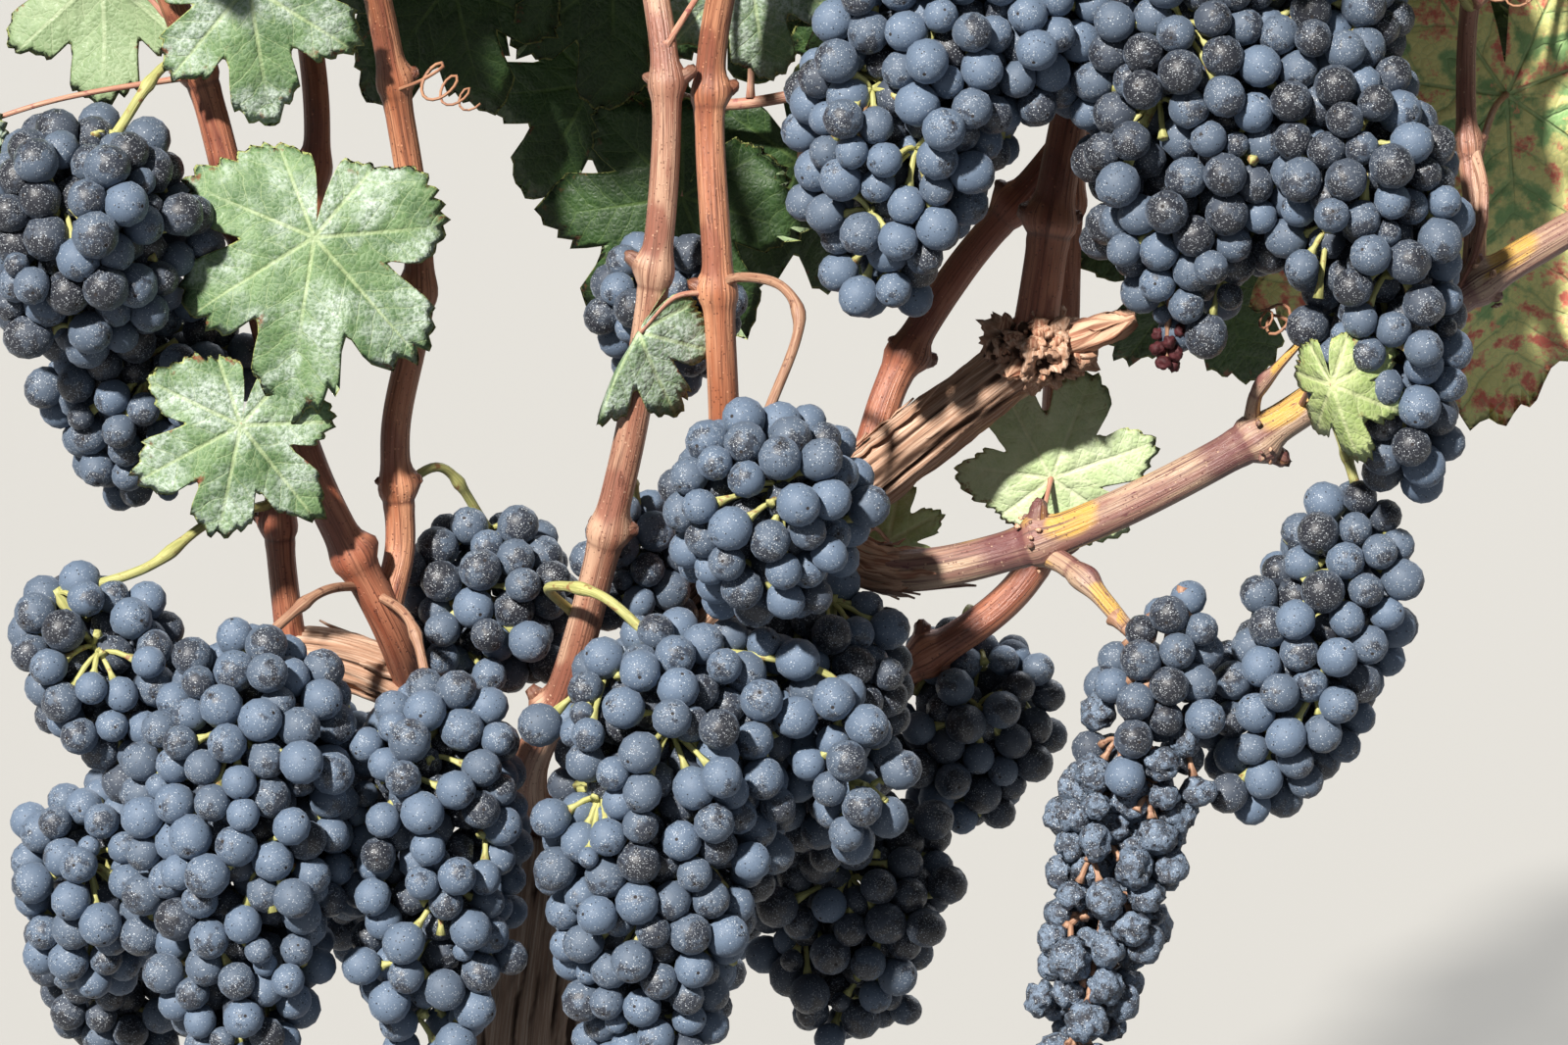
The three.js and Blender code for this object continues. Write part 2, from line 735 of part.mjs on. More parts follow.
// The corners of a leaf that grows out of a four-cornered patch of its shoot: the patch, the rim of the
// blade from the left of its stalk round the tip to the right, and the middle of its two sides.
function topLeafCorners(patch, { base, tipward, facing, length }, grow) {
  const across = new THREE.Vector3().crossVectors(facing, tipward).normalize();
  const up = new THREE.Vector3().crossVectors(tipward, across);
  const place = (lengthwise, sideways, height) =>
    base
      .clone()
      .addScaledVector(tipward, lengthwise)
      .addScaledVector(across, sideways)
      .addScaledVector(up, height);
  const rim = (side) =>
    LOBES.map(([degrees, share]) => {
      const reach = share * length + grow;
      const angle = THREE.MathUtils.degToRad(degrees);
      const droop = (LEAF_DROOP * reach * reach) / length;
      return place(Math.cos(angle) * reach, side * Math.sin(angle) * reach, -droop);
    });
  const stalkHalf = STALK_RADIUS + grow;
  const halfThickness = (LEAF_THICKNESS / 2) * length + grow;
  return [
    ...patch,
    place(0, -stalkHalf, 0),
    ...rim(-1).slice(1).reverse(),
    ...rim(1),
    place(0, stalkHalf, 0),
    place(BLADE_MIDDLE * length, 0, halfThickness),
    place(BLADE_MIDDLE * length, 0, -halfThickness),
  ];
}

// Faces of that leaf. The patch runs lower left, lower right, upper right, upper left, seen from outside.
function topLeafFaces(cornerCount) {
  const [lowerLeft, lowerRight, upperRight, upperLeft, left] = [0, 1, 2, 3, 4];
  const [right, top, under] = [cornerCount - 3, cornerCount - 2, cornerCount - 1];
  const faces = [
    [top, upperLeft, left],
    [top, upperRight, upperLeft],
    [top, right, upperRight],
    [under, left, lowerLeft],
    [under, lowerLeft, lowerRight],
    [under, lowerRight, right],
    [left, upperLeft, lowerLeft],
    [right, lowerRight, upperRight],
  ];
  for (let corner = left; corner < right; corner++)
    faces.push([top, corner, corner + 1], [under, corner + 1, corner]);
  return faces;
}

const PATCH_LID = [[0, 2, 1], [0, 3, 2]]; // closes a leaf's patch, to test the leaf by itself

// One shoot as a three-sided twig. At each joint a leaf grows out of each side, where it stays in its own
// space and clear of all other pieces and leaves.
function leafyTop(index, others) {
  const random = seeded(700 + index * 13);
  const line = shootLines[index];
  const length = line.getLength();
  const joints = Math.round(length / LEAF_SPACING);
  const turn = random() * 2 * Math.PI;
  const phase = 0.3 + 0.55 * random();
  const corners = [];
  const faces = [];
  const ownLeaves = [];
  const ringAt = (distance, heading, radius) => {
    const share = THREE.MathUtils.clamp(distance / length, 0, 1);
    const centre = line.getPointAt(share);
    const along = line.getTangentAt(share);
    return [-60, 60, 180].map((degrees) => {
      const angle = heading + THREE.MathUtils.degToRad(degrees);
      const outward = new THREE.Vector3(Math.cos(angle), Math.sin(angle), 0).projectOnPlane(along);
      return corners.push(centre.clone().add(outward.setLength(radius))) - 1;
    });
  };
  const closeSide = (lower, upper, side) => {
    const next = (side + 1) % 3;
    faces.push([lower[side], lower[next], upper[next]], [lower[side], upper[next], upper[side]]);
  };
  const joinRings = (lower, upper) => [0, 1, 2].forEach((side) => closeSide(lower, upper, side));
  let below = ringAt(0, turn, SHOOT_RADIUS);
  faces.push([below[2], below[1], below[0]]);
  for (let joint = 0; joint < joints; joint++) {
    const along = (joint + phase) / joints;
    const radius = THREE.MathUtils.lerp(SHOOT_RADIUS, SHOOT_TIP_RADIUS + 0.6, along);
    const heading = turn + joint * Math.PI + 0.7 * (random() - 0.5);
    const lower = ringAt(along * length - 2.5, heading, radius);
    const upper = ringAt(along * length + 2.5, heading, radius);
    joinRings(below, lower);
    below = upper;
    JOINT_LEAVES.forEach((_, side) => {
      const next = (side + 1) % 3;
      const quad = [lower[side], lower[next], upper[next], upper[side]];
      const patch = quad.map((corner) => corners[corner]);
      const spec = topLeafSpec(line.getPointAt(along), heading, side, along, random);
      const shape = topLeafCorners(patch, spec, 0);
      const blade = topLeafFaces(shape.length);
      const grown = solidFrom(topLeafCorners(patch, spec, CLEARANCE), [...blade, ...PATCH_LID]);
      const end = spec.base.clone().addScaledVector(spec.tipward, 0.8 * spec.length);
      if (!isInOwnSpace(index, end) || [...others, ...ownLeaves].some((other) => touching(grown, other))) {
        closeSide(lower, upper, side);
        return;
      }
      const clearOfShoot = patch.map((corner) => corner.clone().lerp(spec.base, 0.15));
      ownLeaves.push(solidFrom([...clearOfShoot, ...shape.slice(4)], [...blade, ...PATCH_LID]));
      const first = corners.length - 4;
      corners.push(...shape.slice(4));
      faces.push(...blade.map((face) => face.map((corner) => (corner < 4 ? quad[corner] : corner + first))));
    });
  }
  const tip = ringAt(length, turn, SHOOT_TIP_RADIUS);
  joinRings(below, tip);
  faces.push(tip);
  return solidFrom(corners, faces);
}

// The shoot behind the fruit, whose shaded leaves close the view between the canes.
const rearShoot = {
  name: "rear_shaded_leaves",
  path: [[188, 20, 752], [160, 60, 748], [110, 92, 746], [60, 104, 740], [20, 108, 762], [-10, 108, 800]],
  leaves: [
    { from: [-8, 108, 797], base: [-26, 96, 784], tipward: [-0.6, 0, -0.75], length: 60 },
    { from: [24, 108, 760], base: [22, 124, 744], tipward: [-0.5, 0.1, -0.86], length: 56 },
    { from: [60, 104, 740], base: [58, 92, 716], tipward: [-0.2, 0, -0.97], length: 70 },
    { from: [96, 96, 745], base: [98, 120, 722], tipward: [0.3, 0.1, -0.95], length: 66 },
    { from: [130, 82, 747], base: [120, 98, 790], tipward: [-0.3, 0.1, -0.94], length: 50 },
  ],
};

function shadedLeaves({ path, leaves: blades }) {
  const stations = [0, 0.25, 0.5, 0.75, 1].map((along) => ({ along, radius: 2.6 - 0.9 * along }));
  const shoot = tubeSolid(path, stations, 4);
  return blades.reduce(
    (solid, spec) => solid.add(leaf({ facing: [0, -1, 0.25], outline: LOBES, ...spec }, 0)),
    shoot,
  );
}

function largestPiece(solid) {
  return solid.decompose().reduce((best, piece) => (piece.volume() > best.volume() ? piece : best));
}

function touching(a, b) {
  const one = a.boundingBox();
  const two = b.boundingBox();
  const apart = [0, 1, 2].some((axis) => one.min[axis] > two.max[axis] || two.min[axis] > one.max[axis]);
  return apart ? false : a.intersect(b).volume() > 0;
}

// Colours of the real plant.
const finishes = {
  bark: { color: 0x5a3a26, roughness: 0.95, metalness: 0 },
  cane: { color: 0x8c4a2c, roughness: 0.7, metalness: 0 },
  grape: { color: 0x27304a, roughness: 0.55, metalness: 0 },
  raisin: { color: 0x343c50, roughness: 0.8, metalness: 0 },
  leaf: { color: 0x4f7a3c, roughness: 0.6, metalness: 0 },
  autumn: { color: 0xa8983c, roughness: 0.65, metalness: 0 },
};

const vine = new THREE.Group();
const placed = []; // each piece so far, with the same shape grown by the clearance

// Cuts a new piece clear of every piece that it meets, and adds it to the vine.
function plant(name, finish, make) {
  let solid = make(0);
  for (const { grown } of placed) if (touching(solid, grown)) solid = solid.subtract(grown);
  solid = largestPiece(solid);
  placed.push({ solid, grown: make(CLEARANCE).add(solid) });
  addMesh(name, finish, solid);
}

function addMesh(name, finish, solid) {
  const { vertProperties, triVerts, numProp, numVert } = solid.getMesh();
  const positions = new Float32Array(numVert * 3);
  for (let index = 0; index < numVert; index++)
    positions.set(vertProperties.subarray(index * numProp, index * numProp + 3), index * 3);
  const geometry = new THREE.BufferGeometry()
    .setAttribute("position", new THREE.BufferAttribute(positions, 3))
    .setIndex(new THREE.BufferAttribute(triVerts, 1));
  const mesh = new THREE.Mesh(geometry, new THREE.MeshStandardMaterial(finishes[finish]));
  mesh.name = name;
  vine.add(mesh);
}

plant("trunk", "bark", trunk);
arms.forEach((spec) => plant(spec.name, "bark", (grow) => arm(spec, grow)));
canes.forEach((spec) => plant(spec.name, "cane", (grow) => cane(spec, grow)));
leaves.forEach((spec) => {
  const finish = spec.name === "autumn_leaf" ? "autumn" : "leaf";
  plant(spec.name, finish, (grow) => leaf(spec, grow));
});
bunches.forEach((spec, index) => {
  const finish = spec.name === "shrivelled_bunch" ? "raisin" : "grape";
  plant(spec.name, finish, (grow) => bunch({ seed: index + 1, ...spec }, grow));
});
plant(rearShoot.name, "leaf", () => shadedLeaves(rearShoot));
tops.forEach((top, index) => {
  const others = placed.map((piece) => piece.solid);
  plant(top.name, "leaf", () => leafyTop(index, others));
});

export default vine;
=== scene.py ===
import math
from dataclasses import dataclass

import bmesh
import bpy
import numpy as np
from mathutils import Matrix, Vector, noise


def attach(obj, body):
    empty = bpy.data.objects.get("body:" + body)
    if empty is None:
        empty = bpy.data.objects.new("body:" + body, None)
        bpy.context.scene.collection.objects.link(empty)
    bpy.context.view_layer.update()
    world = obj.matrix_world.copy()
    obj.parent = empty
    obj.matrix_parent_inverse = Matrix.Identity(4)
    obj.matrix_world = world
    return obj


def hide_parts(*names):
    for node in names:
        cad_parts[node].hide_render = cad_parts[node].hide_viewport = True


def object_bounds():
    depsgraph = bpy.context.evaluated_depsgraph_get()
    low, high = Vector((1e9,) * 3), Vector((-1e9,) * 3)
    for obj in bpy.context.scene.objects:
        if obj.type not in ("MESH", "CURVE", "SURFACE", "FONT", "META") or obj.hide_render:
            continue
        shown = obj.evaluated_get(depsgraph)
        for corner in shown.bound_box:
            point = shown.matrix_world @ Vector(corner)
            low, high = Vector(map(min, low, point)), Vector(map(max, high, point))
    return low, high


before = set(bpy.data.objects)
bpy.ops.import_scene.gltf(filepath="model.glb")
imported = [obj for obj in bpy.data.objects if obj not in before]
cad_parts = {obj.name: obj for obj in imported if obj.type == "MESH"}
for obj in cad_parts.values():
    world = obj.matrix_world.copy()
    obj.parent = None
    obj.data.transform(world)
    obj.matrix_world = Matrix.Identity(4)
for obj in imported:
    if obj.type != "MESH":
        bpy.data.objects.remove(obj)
cad_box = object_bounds()
scene = bpy.context.scene

# The view: a long lens looks 12 degrees down on the fruit of the vine, which stands on a plain pale floor. A
# distant lamp, high on the left, lights it as the sun does in the photograph, and a weak one from behind and
# a pale sky fill in the shade.
VIEW_MIDDLE = Vector((.09, 0, .61))
VIEW_DOWN = math.radians(12)
VIEW_DISTANCE = 1.8
VIEW_WIDTH = .533  # what the photograph spans at the fruit
LAMPS = {  # where each stands, how wide it looks in degrees, its strength and its colour
    "main_lamp": ((-.52, -1, .9), 3, 7.6, (1, .965, .91)),
    "back_lamp": ((.5, 1, .8), 50, 1.9, (.93, .96, 1)),
}
SKY_COLOUR = (.85, .91, 1)
SKY_STRENGTH = .22
FLOOR_HALF = 300
FLOOR_SOCKETS = {  # the floor has some light of its own, so that shadows on it stay pale
    "Base Color": (.2, .194, .18, 1),
    "Roughness": .9,
    "Emission Color": (.33, .32, .3, 1),
    "Emission Strength": 1,
}

camera_data = bpy.data.cameras.new("view")
camera_data.lens = camera_data.sensor_width * VIEW_DISTANCE / VIEW_WIDTH
camera = bpy.data.objects.new("view", camera_data)
camera.location = VIEW_MIDDLE + VIEW_DISTANCE * Vector((0, -math.cos(VIEW_DOWN), math.sin(VIEW_DOWN)))
camera.rotation_euler = (math.pi / 2 - VIEW_DOWN, 0, 0)
scene.collection.objects.link(camera)
scene.camera = camera

for name, (towards, spread, strength, colour) in LAMPS.items():
    lamp_data = bpy.data.lights.new(name, "SUN")
    lamp_data.angle = math.radians(spread)
    lamp_data.energy = strength
    lamp_data.color = colour
    lamp = bpy.data.objects.new(name, lamp_data)
    lamp.rotation_euler = Vector(towards).to_track_quat("Z", "Y").to_euler()
    scene.collection.objects.link(lamp)

scene.world = bpy.data.worlds.new("sky")
scene.world.use_nodes = True
sky = scene.world.node_tree.nodes["Background"].inputs
sky["Color"].default_value = (*SKY_COLOUR, 1)
sky["Strength"].default_value = SKY_STRENGTH
scene.view_settings.view_transform = "Standard"

floor_mesh = bpy.data.meshes.new("floor")
floor_corners = [(x * FLOOR_HALF, y * FLOOR_HALF, 0) for x, y in ((-1, -1), (1, -1), (1, 1), (-1, 1))]
floor_mesh.from_pydata(floor_corners, [], [(0, 1, 2, 3)])
floor_finish = bpy.data.materials.new("floor")
floor_finish.use_nodes = True
for socket, value in FLOOR_SOCKETS.items():
    floor_finish.node_tree.nodes["Principled BSDF"].inputs[socket].default_value = value
floor_mesh.materials.append(floor_finish)
floor = bpy.data.objects.new("floor", floor_mesh)
floor.visible_diffuse = False  # so that the floor throws no light up between the grapes
scene.collection.objects.link(floor)

# The trunk: old wood under bark that splits into long shaggy plates. It leans and bends on its way up, and
# its root flare ends at a flat cut at ground level.
TRUNK_PATH = [(0, 0, 0), (-.004, .004, .110), (.008, .016, .260), (-.003, .030, .390), (.007, .036, .492)]
TRUNK_RADII = (.027, .019)  # at the foot and at the top
ROOT_FLARE = .55  # share that the lobes of the root flare add at the ground
ROOT_LOBES = 5
FLARE_HEIGHT = .070
TRUNK_SIDES = 76
BARK_RELIEF = .0021
BARK_STEP = .0038
PLATE_WIDTHS = 4.2  # how fast the bark changes round a limb, and per metre along it
PLATE_LENGTHS = 9
TRUNK_STRIPS = 46
TRUNK_STRIP_RANGES = ((.12, .85), (.03, .08), (.001, .005), (.001, .003))  # start, length, lift and width
STRIP_THICKNESS = .0004
TRUNK_BARK = ((.33, .21, .145), (.56, .43, .33), (.045, .026, .018))  # plates, fibres, splits
chance = np.random.default_rng(11)


def unit(vectors):
    return vectors / np.linalg.norm(vectors, axis=-1, keepdims=True)


def headings(line):
    """The way that a line heads at each of its points."""
    return unit(np.gradient(line, axis=0))


def out_of(heading, angle):
    """The direction square to a heading, at an angle that is 0 to the right and -90 degrees in front."""
    side = unit(np.cross((0, 1, 0), heading))
    return np.cos(angle)[..., None] * side + np.sin(angle)[..., None] * np.cross(heading, side)


def distances(line):
    return np.r_[0, np.cumsum(np.linalg.norm(np.diff(line, axis=0), axis=1))]


def evenly(line, step):
    """The same line with its points a step apart, or a little less."""
    distance = distances(line)
    along = np.linspace(0, distance[-1], max(2, math.ceil(distance[-1] / step) + 1))
    return np.stack([np.interp(along, distance, line[:, axis]) for axis in range(3)], axis=1)


def smooth_line(points):
    """Points 1 mm apart on the smooth curve through the given ones, as the limbs of the frame have it."""
    knots = [np.array(point, float) for point in points]
    knots = [2 * knots[0] - knots[1], *knots, 2 * knots[-1] - knots[-2]]
    share = np.linspace(0, 1, 60, endpoint=False)[:, None]
    dense = []
    for before, start, end, after in zip(knots, knots[1:], knots[2:], knots[3:]):
        gaps = (start - before, end - start, after - end)
        first, second, third = (math.sqrt(np.linalg.norm(gap)) for gap in gaps)
        leaving = (start - before) / first - (end - before) / (first + second) + (end - start) / second
        arriving = (end - start) / second - (after - start) / (second + third) + (after - end) / third
        leaving, arriving = leaving * second, arriving * second
        dense.append(start + leaving * share + (3 * (end - start) - 2 * leaving - arriving) * share**2
                     + (2 * (start - end) + leaving + arriving) * share**3)
    return evenly(np.concatenate([*dense, [knots[-2]]]), .001)


def taper(radii, along):
    """The radius at a share of the way from the foot of a limb to its tip."""
    return radii[0] + (radii[1] - radii[0]) * along


def part(corners, faces, grain, depth=0, paint=0):
    """A part of a piece: its mesh, the layers that its finish reads, and the number of that finish."""
    return {"corners": corners, "faces": faces, "grain": grain, "depth": np.zeros(len(corners)) + depth,
            "paint": paint}


def bands(rings, sides, first=0, inward=False):
    """Faces between rings of corners."""
    start = (first + np.arange(rings - 1)[:, None] * sides + np.arange(sides)).ravel()
    beside = (first + np.arange(rings - 1)[:, None] * sides + (np.arange(sides) + 1) % sides).ravel()
    faces = np.stack([start, beside, beside + sides, start + sides], axis=1)
    return faces[:, [0, 3, 2, 1]] if inward else faces


def fan(middle, first, sides, inward=False):
    """Faces from one corner to a ring of corners."""
    around, beside = first + np.arange(sides), first + (np.arange(sides) + 1) % sides
    ring = (beside, around) if inward else (around, beside)
    return np.stack([np.full(sides, middle), *ring], axis=1)


def limb(line, shape, sides, step, paint=0, first_side=(0, 1, 0)):
    """A closed tube round a line. shape takes the distance along it, the angle round it, which is 0 to the
    right and -90 degrees in front, and the share along it, and gives the radius and the relief's depth."""
    middle = evenly(line, step)
    heading = headings(middle)
    side = np.cross(first_side, heading[0])
    sidewise = []
    for direction in heading:
        side = unit(side - side.dot(direction) * direction)
        sidewise.append(side)
    sidewise = np.array(sidewise)
    other = np.cross(heading, sidewise)
    lengths = distances(middle)
    distance, turn = np.meshgrid(lengths, np.arange(sides) / sides * 2 * math.pi, indexing="ij")
    shaped = shape(distance, turn, distance / lengths[-1])
    radius, depth = (np.broadcast_to(values, turn.shape) for values in shaped)
    outward = np.cos(turn)[..., None] * sidewise[:, None] + np.sin(turn)[..., None] * other[:, None]
    corners = (middle[:, None] + outward * radius[..., None]).reshape(-1, 3)
    girth = radius.mean()
    grain = np.stack([np.cos(turn) * girth, np.sin(turn) * girth, distance], axis=-1).reshape(-1, 3)
    last = (len(middle) - 1) * sides
    caps = [fan(len(corners), 0, sides, True), fan(len(corners) + 1, last, sides)]
    return part(np.vstack([corners, middle[0], middle[-1]]), [bands(len(middle), sides), *caps],
                np.vstack([grain, (0, 0, 0), (0, 0, lengths[-1])]), np.r_[depth.ravel(), 0, 0], paint)


def piece(name, parts, finishes, slot, *nodes):
    """Joins parts into one piece that stands for nodes. Each part's paint says which finishes it takes."""
    corners, faces, paints, start = [], [], [], 0
    for each in parts:
        paints.append(np.broadcast_to(each["paint"], sum(len(block) for block in each["faces"])))
        for block in each["faces"]:
            faces.extend((np.asarray(block) + start).tolist())
        corners.append(each["corners"])
        start += len(each["corners"])
    mesh = bpy.data.meshes.new(name)
    mesh.from_pydata(np.concatenate(corners).tolist(), [], faces)
    mesh.polygons.foreach_set("material_index", np.concatenate(paints).astype(np.int32))
    mesh.polygons.foreach_set("use_smooth", np.ones(len(faces), bool))
    for field, kind, value in (("grain", "FLOAT_VECTOR", "vector"), ("depth", "FLOAT", "value")):
        values = np.concatenate([each[field] for each in parts]).astype(np.float32)
        mesh.attributes.new(field, kind, "POINT").data.foreach_set(value, values.ravel())
    for finish in finishes:
        mesh.materials.append(finish)
    made = bpy.data.objects.new(name, mesh)
    scene.collection.objects.link(made)
    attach(made, "root")
    if nodes:
        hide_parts(*nodes)


def add(tree, kind, inputs=(), **settings):
    """Adds a shader node. inputs holds what each socket takes: a number, a colour or a Level."""
    node = tree.nodes.new("ShaderNode" + kind)
    for setting, value in settings.items():
        setattr(node, setting, value)
    for name, value in dict(inputs).items():
        socket = node.inputs[name]
        if isinstance(value, Level):
            tree.links.new(value.socket, socket)
        elif socket.type == "RGBA":
            socket.default_value = (*value, 1)
        else:
            socket.default_value = value
    return node.outputs


class Level:
    """What a shader node gives at each point of a surface, with the usual sums."""

    def __init__(self, socket):
        self.socket = socket
        self.tree = socket.id_data

    def math(self, operation, other=0):
        return Level(add(self.tree, "Math", {0: self, 1: other}, operation=operation)["Value"])

    def step(self, low, high, to_low=0, to_high=1):
        """A smooth step of the value from one level to another."""
        limits = {"Value": self, "From Min": low, "From Max": high, "To Min": to_low, "To Max": to_high}
        return Level(add(self.tree, "MapRange", limits, interpolation_type="SMOOTHSTEP")["Result"])

    def __add__(self, other):
        return self.math("ADD", other)

    def __sub__(self, other):
        return self.math("SUBTRACT", other)

    def __rsub__(self, other):
        return Level(add(self.tree, "Math", {0: other, 1: self}, operation="SUBTRACT")["Value"])

    def __mul__(self, other):
        return self.math("MULTIPLY", other)

    def __abs__(self):
        return self.math("ABSOLUTE")


def split(level):
    """The three numbers of a place or a colour."""
    numbers = add(level.tree, "SeparateXYZ", {"Vector": level})
    return [Level(numbers[axis]) for axis in "XYZ"]


def mixed(share, first, second):
    """A colour between two others: sockets 0, 6 and 7 are the node's share and its two colours."""
    return Level(add(share.tree, "Mix", {0: share, 6: first, 7: second}, data_type="RGBA")[2])


def coated(colour, *coats):
    """A colour under coats of others. Each coat has its share at each point, and its colour."""
    for share, coat in coats:
        colour = mixed(share, colour, coat)
    return colour


def times(colour, factor):
    return tuple(min(1, factor * value) for value in colour)


def pattern(places, stretch, detail=4, roughness=.55):
    """Smooth noise over places, which are stretched by so much per metre, all ways or along each axis."""
    scale = stretch if isinstance(stretch, tuple) else (stretch,) * 3
    stretched = Level(add(places.tree, "Mapping", {"Vector": places, "Scale": scale})["Vector"])
    inputs = {"Vector": stretched, "Scale": 1, "Detail": detail, "Roughness": roughness}
    return Level(add(places.tree, "TexNoise", inputs)["Fac"])


def new_finish(name, **sockets):
    """A material without a pattern as yet, with the shader sockets that are the same all over it."""
    made = bpy.data.materials.new(name)
    made.use_nodes = True
    for socket, value in sockets.items():
        made.node_tree.nodes["Principled BSDF"].inputs[socket.replace("_", " ")].default_value = value
    return made


def layer(made, name):
    """What a layer of the piece says under a material: its grain, as a place, or its depth, as a number."""
    outputs = add(made.node_tree, "Attribute", attribute_name=name)
    return Level(outputs["Fac" if name == "depth" else "Vector"])


def place_in(made):
    return Level(add(made.node_tree, "TexCoord")["Object"])


def wear(made, colour, roughness, height, depth):
    """Gives a material its colour and roughness, and its bumps as a height in metres."""
    bump = Level(add(made.node_tree, "Bump", {"Height": height, "Strength": 1, "Distance": depth})["Normal"])
    for socket, level in (("Base Color", colour), ("Roughness", roughness), ("Normal", bump)):
        made.node_tree.links.new(level.socket, made.node_tree.nodes["Principled BSDF"].inputs[socket])
    return made


def bark_finish(name, plate, fibre, crevice):
    """Old bark: grey-brown plates with paler fibres along them, dark in the splits."""
    made = new_finish(name, Specular_IOR_Level=.25)
    grain = layer(made, "grain")
    fibres = pattern(grain, (1300, 1300, 26), 6, .65)
    patches = pattern(grain, (160, 160, 30), 3)
    colour = coated(
        plate,
        (fibres.step(.42, .66), fibre),
        (patches.step(.5, .75), times(plate, .6)),
        (layer(made, "depth").step(.3, -.45), crevice),
    )
    return wear(made, colour, fibres.step(.2, .8, .75, .95), fibres, .0009)


def relief(distance, turn, widths, lengths, seed, octaves=4):
    """Ridges along a limb, from -1 in a split to 1 on a plate."""
    places = np.stack([np.cos(turn) * widths, np.sin(turn) * widths + seed, distance * lengths], axis=-1)
    flat = [noise.fractal(Vector(place), .75, 2.1, octaves) for place in places.reshape(-1, 3)]
    return 1 - 2.6 * np.abs(np.array(flat).reshape(turn.shape))


def trunk_shape(distance, turn, along):
    """Radius of the trunk: its taper, root flare, slight edges along it and the relief of its bark."""
    flare = ROOT_FLARE * np.exp(-along * TRUNK_PATH[-1][2] / FLARE_HEIGHT)
    ridge = .07 * np.sin(3 * turn + along * 9)
    lobes = flare * (.6 + .4 * np.cos(ROOT_LOBES * turn))
    depth = relief(distance + .01 * np.sin(2 * turn), turn + 2 * distance, PLATE_WIDTHS, PLATE_LENGTHS, 3)
    return taper(TRUNK_RADII, along) * (1 + ridge + lobes) + BARK_RELIEF * depth, depth


def loose_strip(line, radius, ranges, seed):
    """A strip of bark that has come away from a limb at its ends, with its measures dealt from ranges."""
    starts, lengths, lifts, widths = ranges
    pairs = (starts, lengths, (0, 2 * math.pi), lifts, widths)
    start, length, angle, lift, width = (chance.uniform(*pair) for pair in pairs)
    stretch = line[int(start * len(line)) : int(start * len(line)) + max(4, int(length * 1000))]
    heading = headings(stretch)
    outward = out_of(heading, angle)
    share = np.linspace(-1, 1, len(stretch))[:, None]
    wave = np.array([noise.noise(Vector((seed, 9 * s, 0))) for s in share[:, 0]])[:, None]
    away = radius + STRIP_THICKNESS + lift * np.abs(share) ** 3 * (share > 0) + .0012 * wave
    path = stretch + outward * away + np.cross(heading, outward) * .002 * wave

    def flat_shape(distance, turn, along):
        narrowing = 1 - .8 * np.abs(2 * along - 1) ** 4
        across, thick = np.cos(turn) / (width * narrowing), np.sin(turn) / STRIP_THICKNESS
        return 1 / np.sqrt(across**2 + thick**2), .3

    return limb(path, flat_shape, 8, .004, 0, outward[0])


trunk_line = smooth_line(TRUNK_PATH)
trunk_line[0, 2] = 0
trunk = limb(trunk_line, trunk_shape, TRUNK_SIDES, BARK_STEP)
trunk["corners"][:TRUNK_SIDES, 2] = 0
strip_radius = TRUNK_RADII[1] + .003
strips = [loose_strip(trunk_line, strip_radius, TRUNK_STRIP_RANGES, seed) for seed in range(TRUNK_STRIPS)]
piece("trunk_bark", [trunk, *strips], [bark_finish("trunk_bark", *TRUNK_BARK)], "bark", "trunk")

# The old arms: two boughs of many-year-old wood that leave the fork of the trunk, under the same bark. The
# right one ends in a knob of pruned spurs with a torn, pale stub of dead wood.
ARMS = {
    "right_arm": {
        "path": [(.008, .036, .478), (.030, .032, .520), (.065, .025, .574), (.110, .015, .614),
                 (.142, .010, .641), (.176, .005, .669)],
        "radii": (.013, .0095), "strips": 34,
    },
    "left_arm": {
        "path": [(.005, .036, .478), (-.010, .032, .508), (-.036, .016, .546), (-.062, .016, .558),
                 (-.084, .020, .560)],
        "radii": (.011, .008), "strips": 16,
    },
}
ARM_STRIP_RANGES = ((.05, .75), (.02, .06), (0, .004), (.0006, .0022))
ARM_BARK = ((.42, .235, .15), (.72, .51, .38), (.05, .024, .014))
ARM_SIDES = 54
ARM_STEP = .0024
ARM_RELIEF = .0015
KNOB_RADIUS = .0145
KNOB_STRETCH = np.array((1.1, .95, .8))
SPURS = 3
SPUR_RADII = (.003, .0042)
CRUMBS = 40
CRUMB_SIZES = (.0014, .0038)
STUB_PATH = [(.172, .006, .667), (.190, 0, .674), (.208, -.006, .682)]
STUB_RADIUS = .0062
TORN_WOOD = (.68, .42, .28)
TORN_SHADE = (.32, .14, .085)


def arm_shape(radii, seed):
    """Radius of an arm: its taper, slight edges along it and the relief of its bark."""

    def shape(distance, turn, along):
        depth = relief(distance, turn + 3 * distance, 4, 6, seed)
        return taper(radii, along) * (1 + .08 * np.sin(3 * turn)) + ARM_RELIEF * depth, depth

    return shape


def ball_shape(detail):
    """Corners and faces of a ball of radius 1, made by dividing the faces of a twenty-sided solid."""
    mesh = bpy.data.meshes.new("ball")
    work = bmesh.new()
    bmesh.ops.create_icosphere(work, subdivisions=detail, radius=1)
    work.to_mesh(mesh)
    work.free()
    corners = np.array([corner.co for corner in mesh.vertices])
    faces = np.array([face.vertices[:] for face in mesh.polygons])
    bpy.data.meshes.remove(mesh)
    return corners, faces


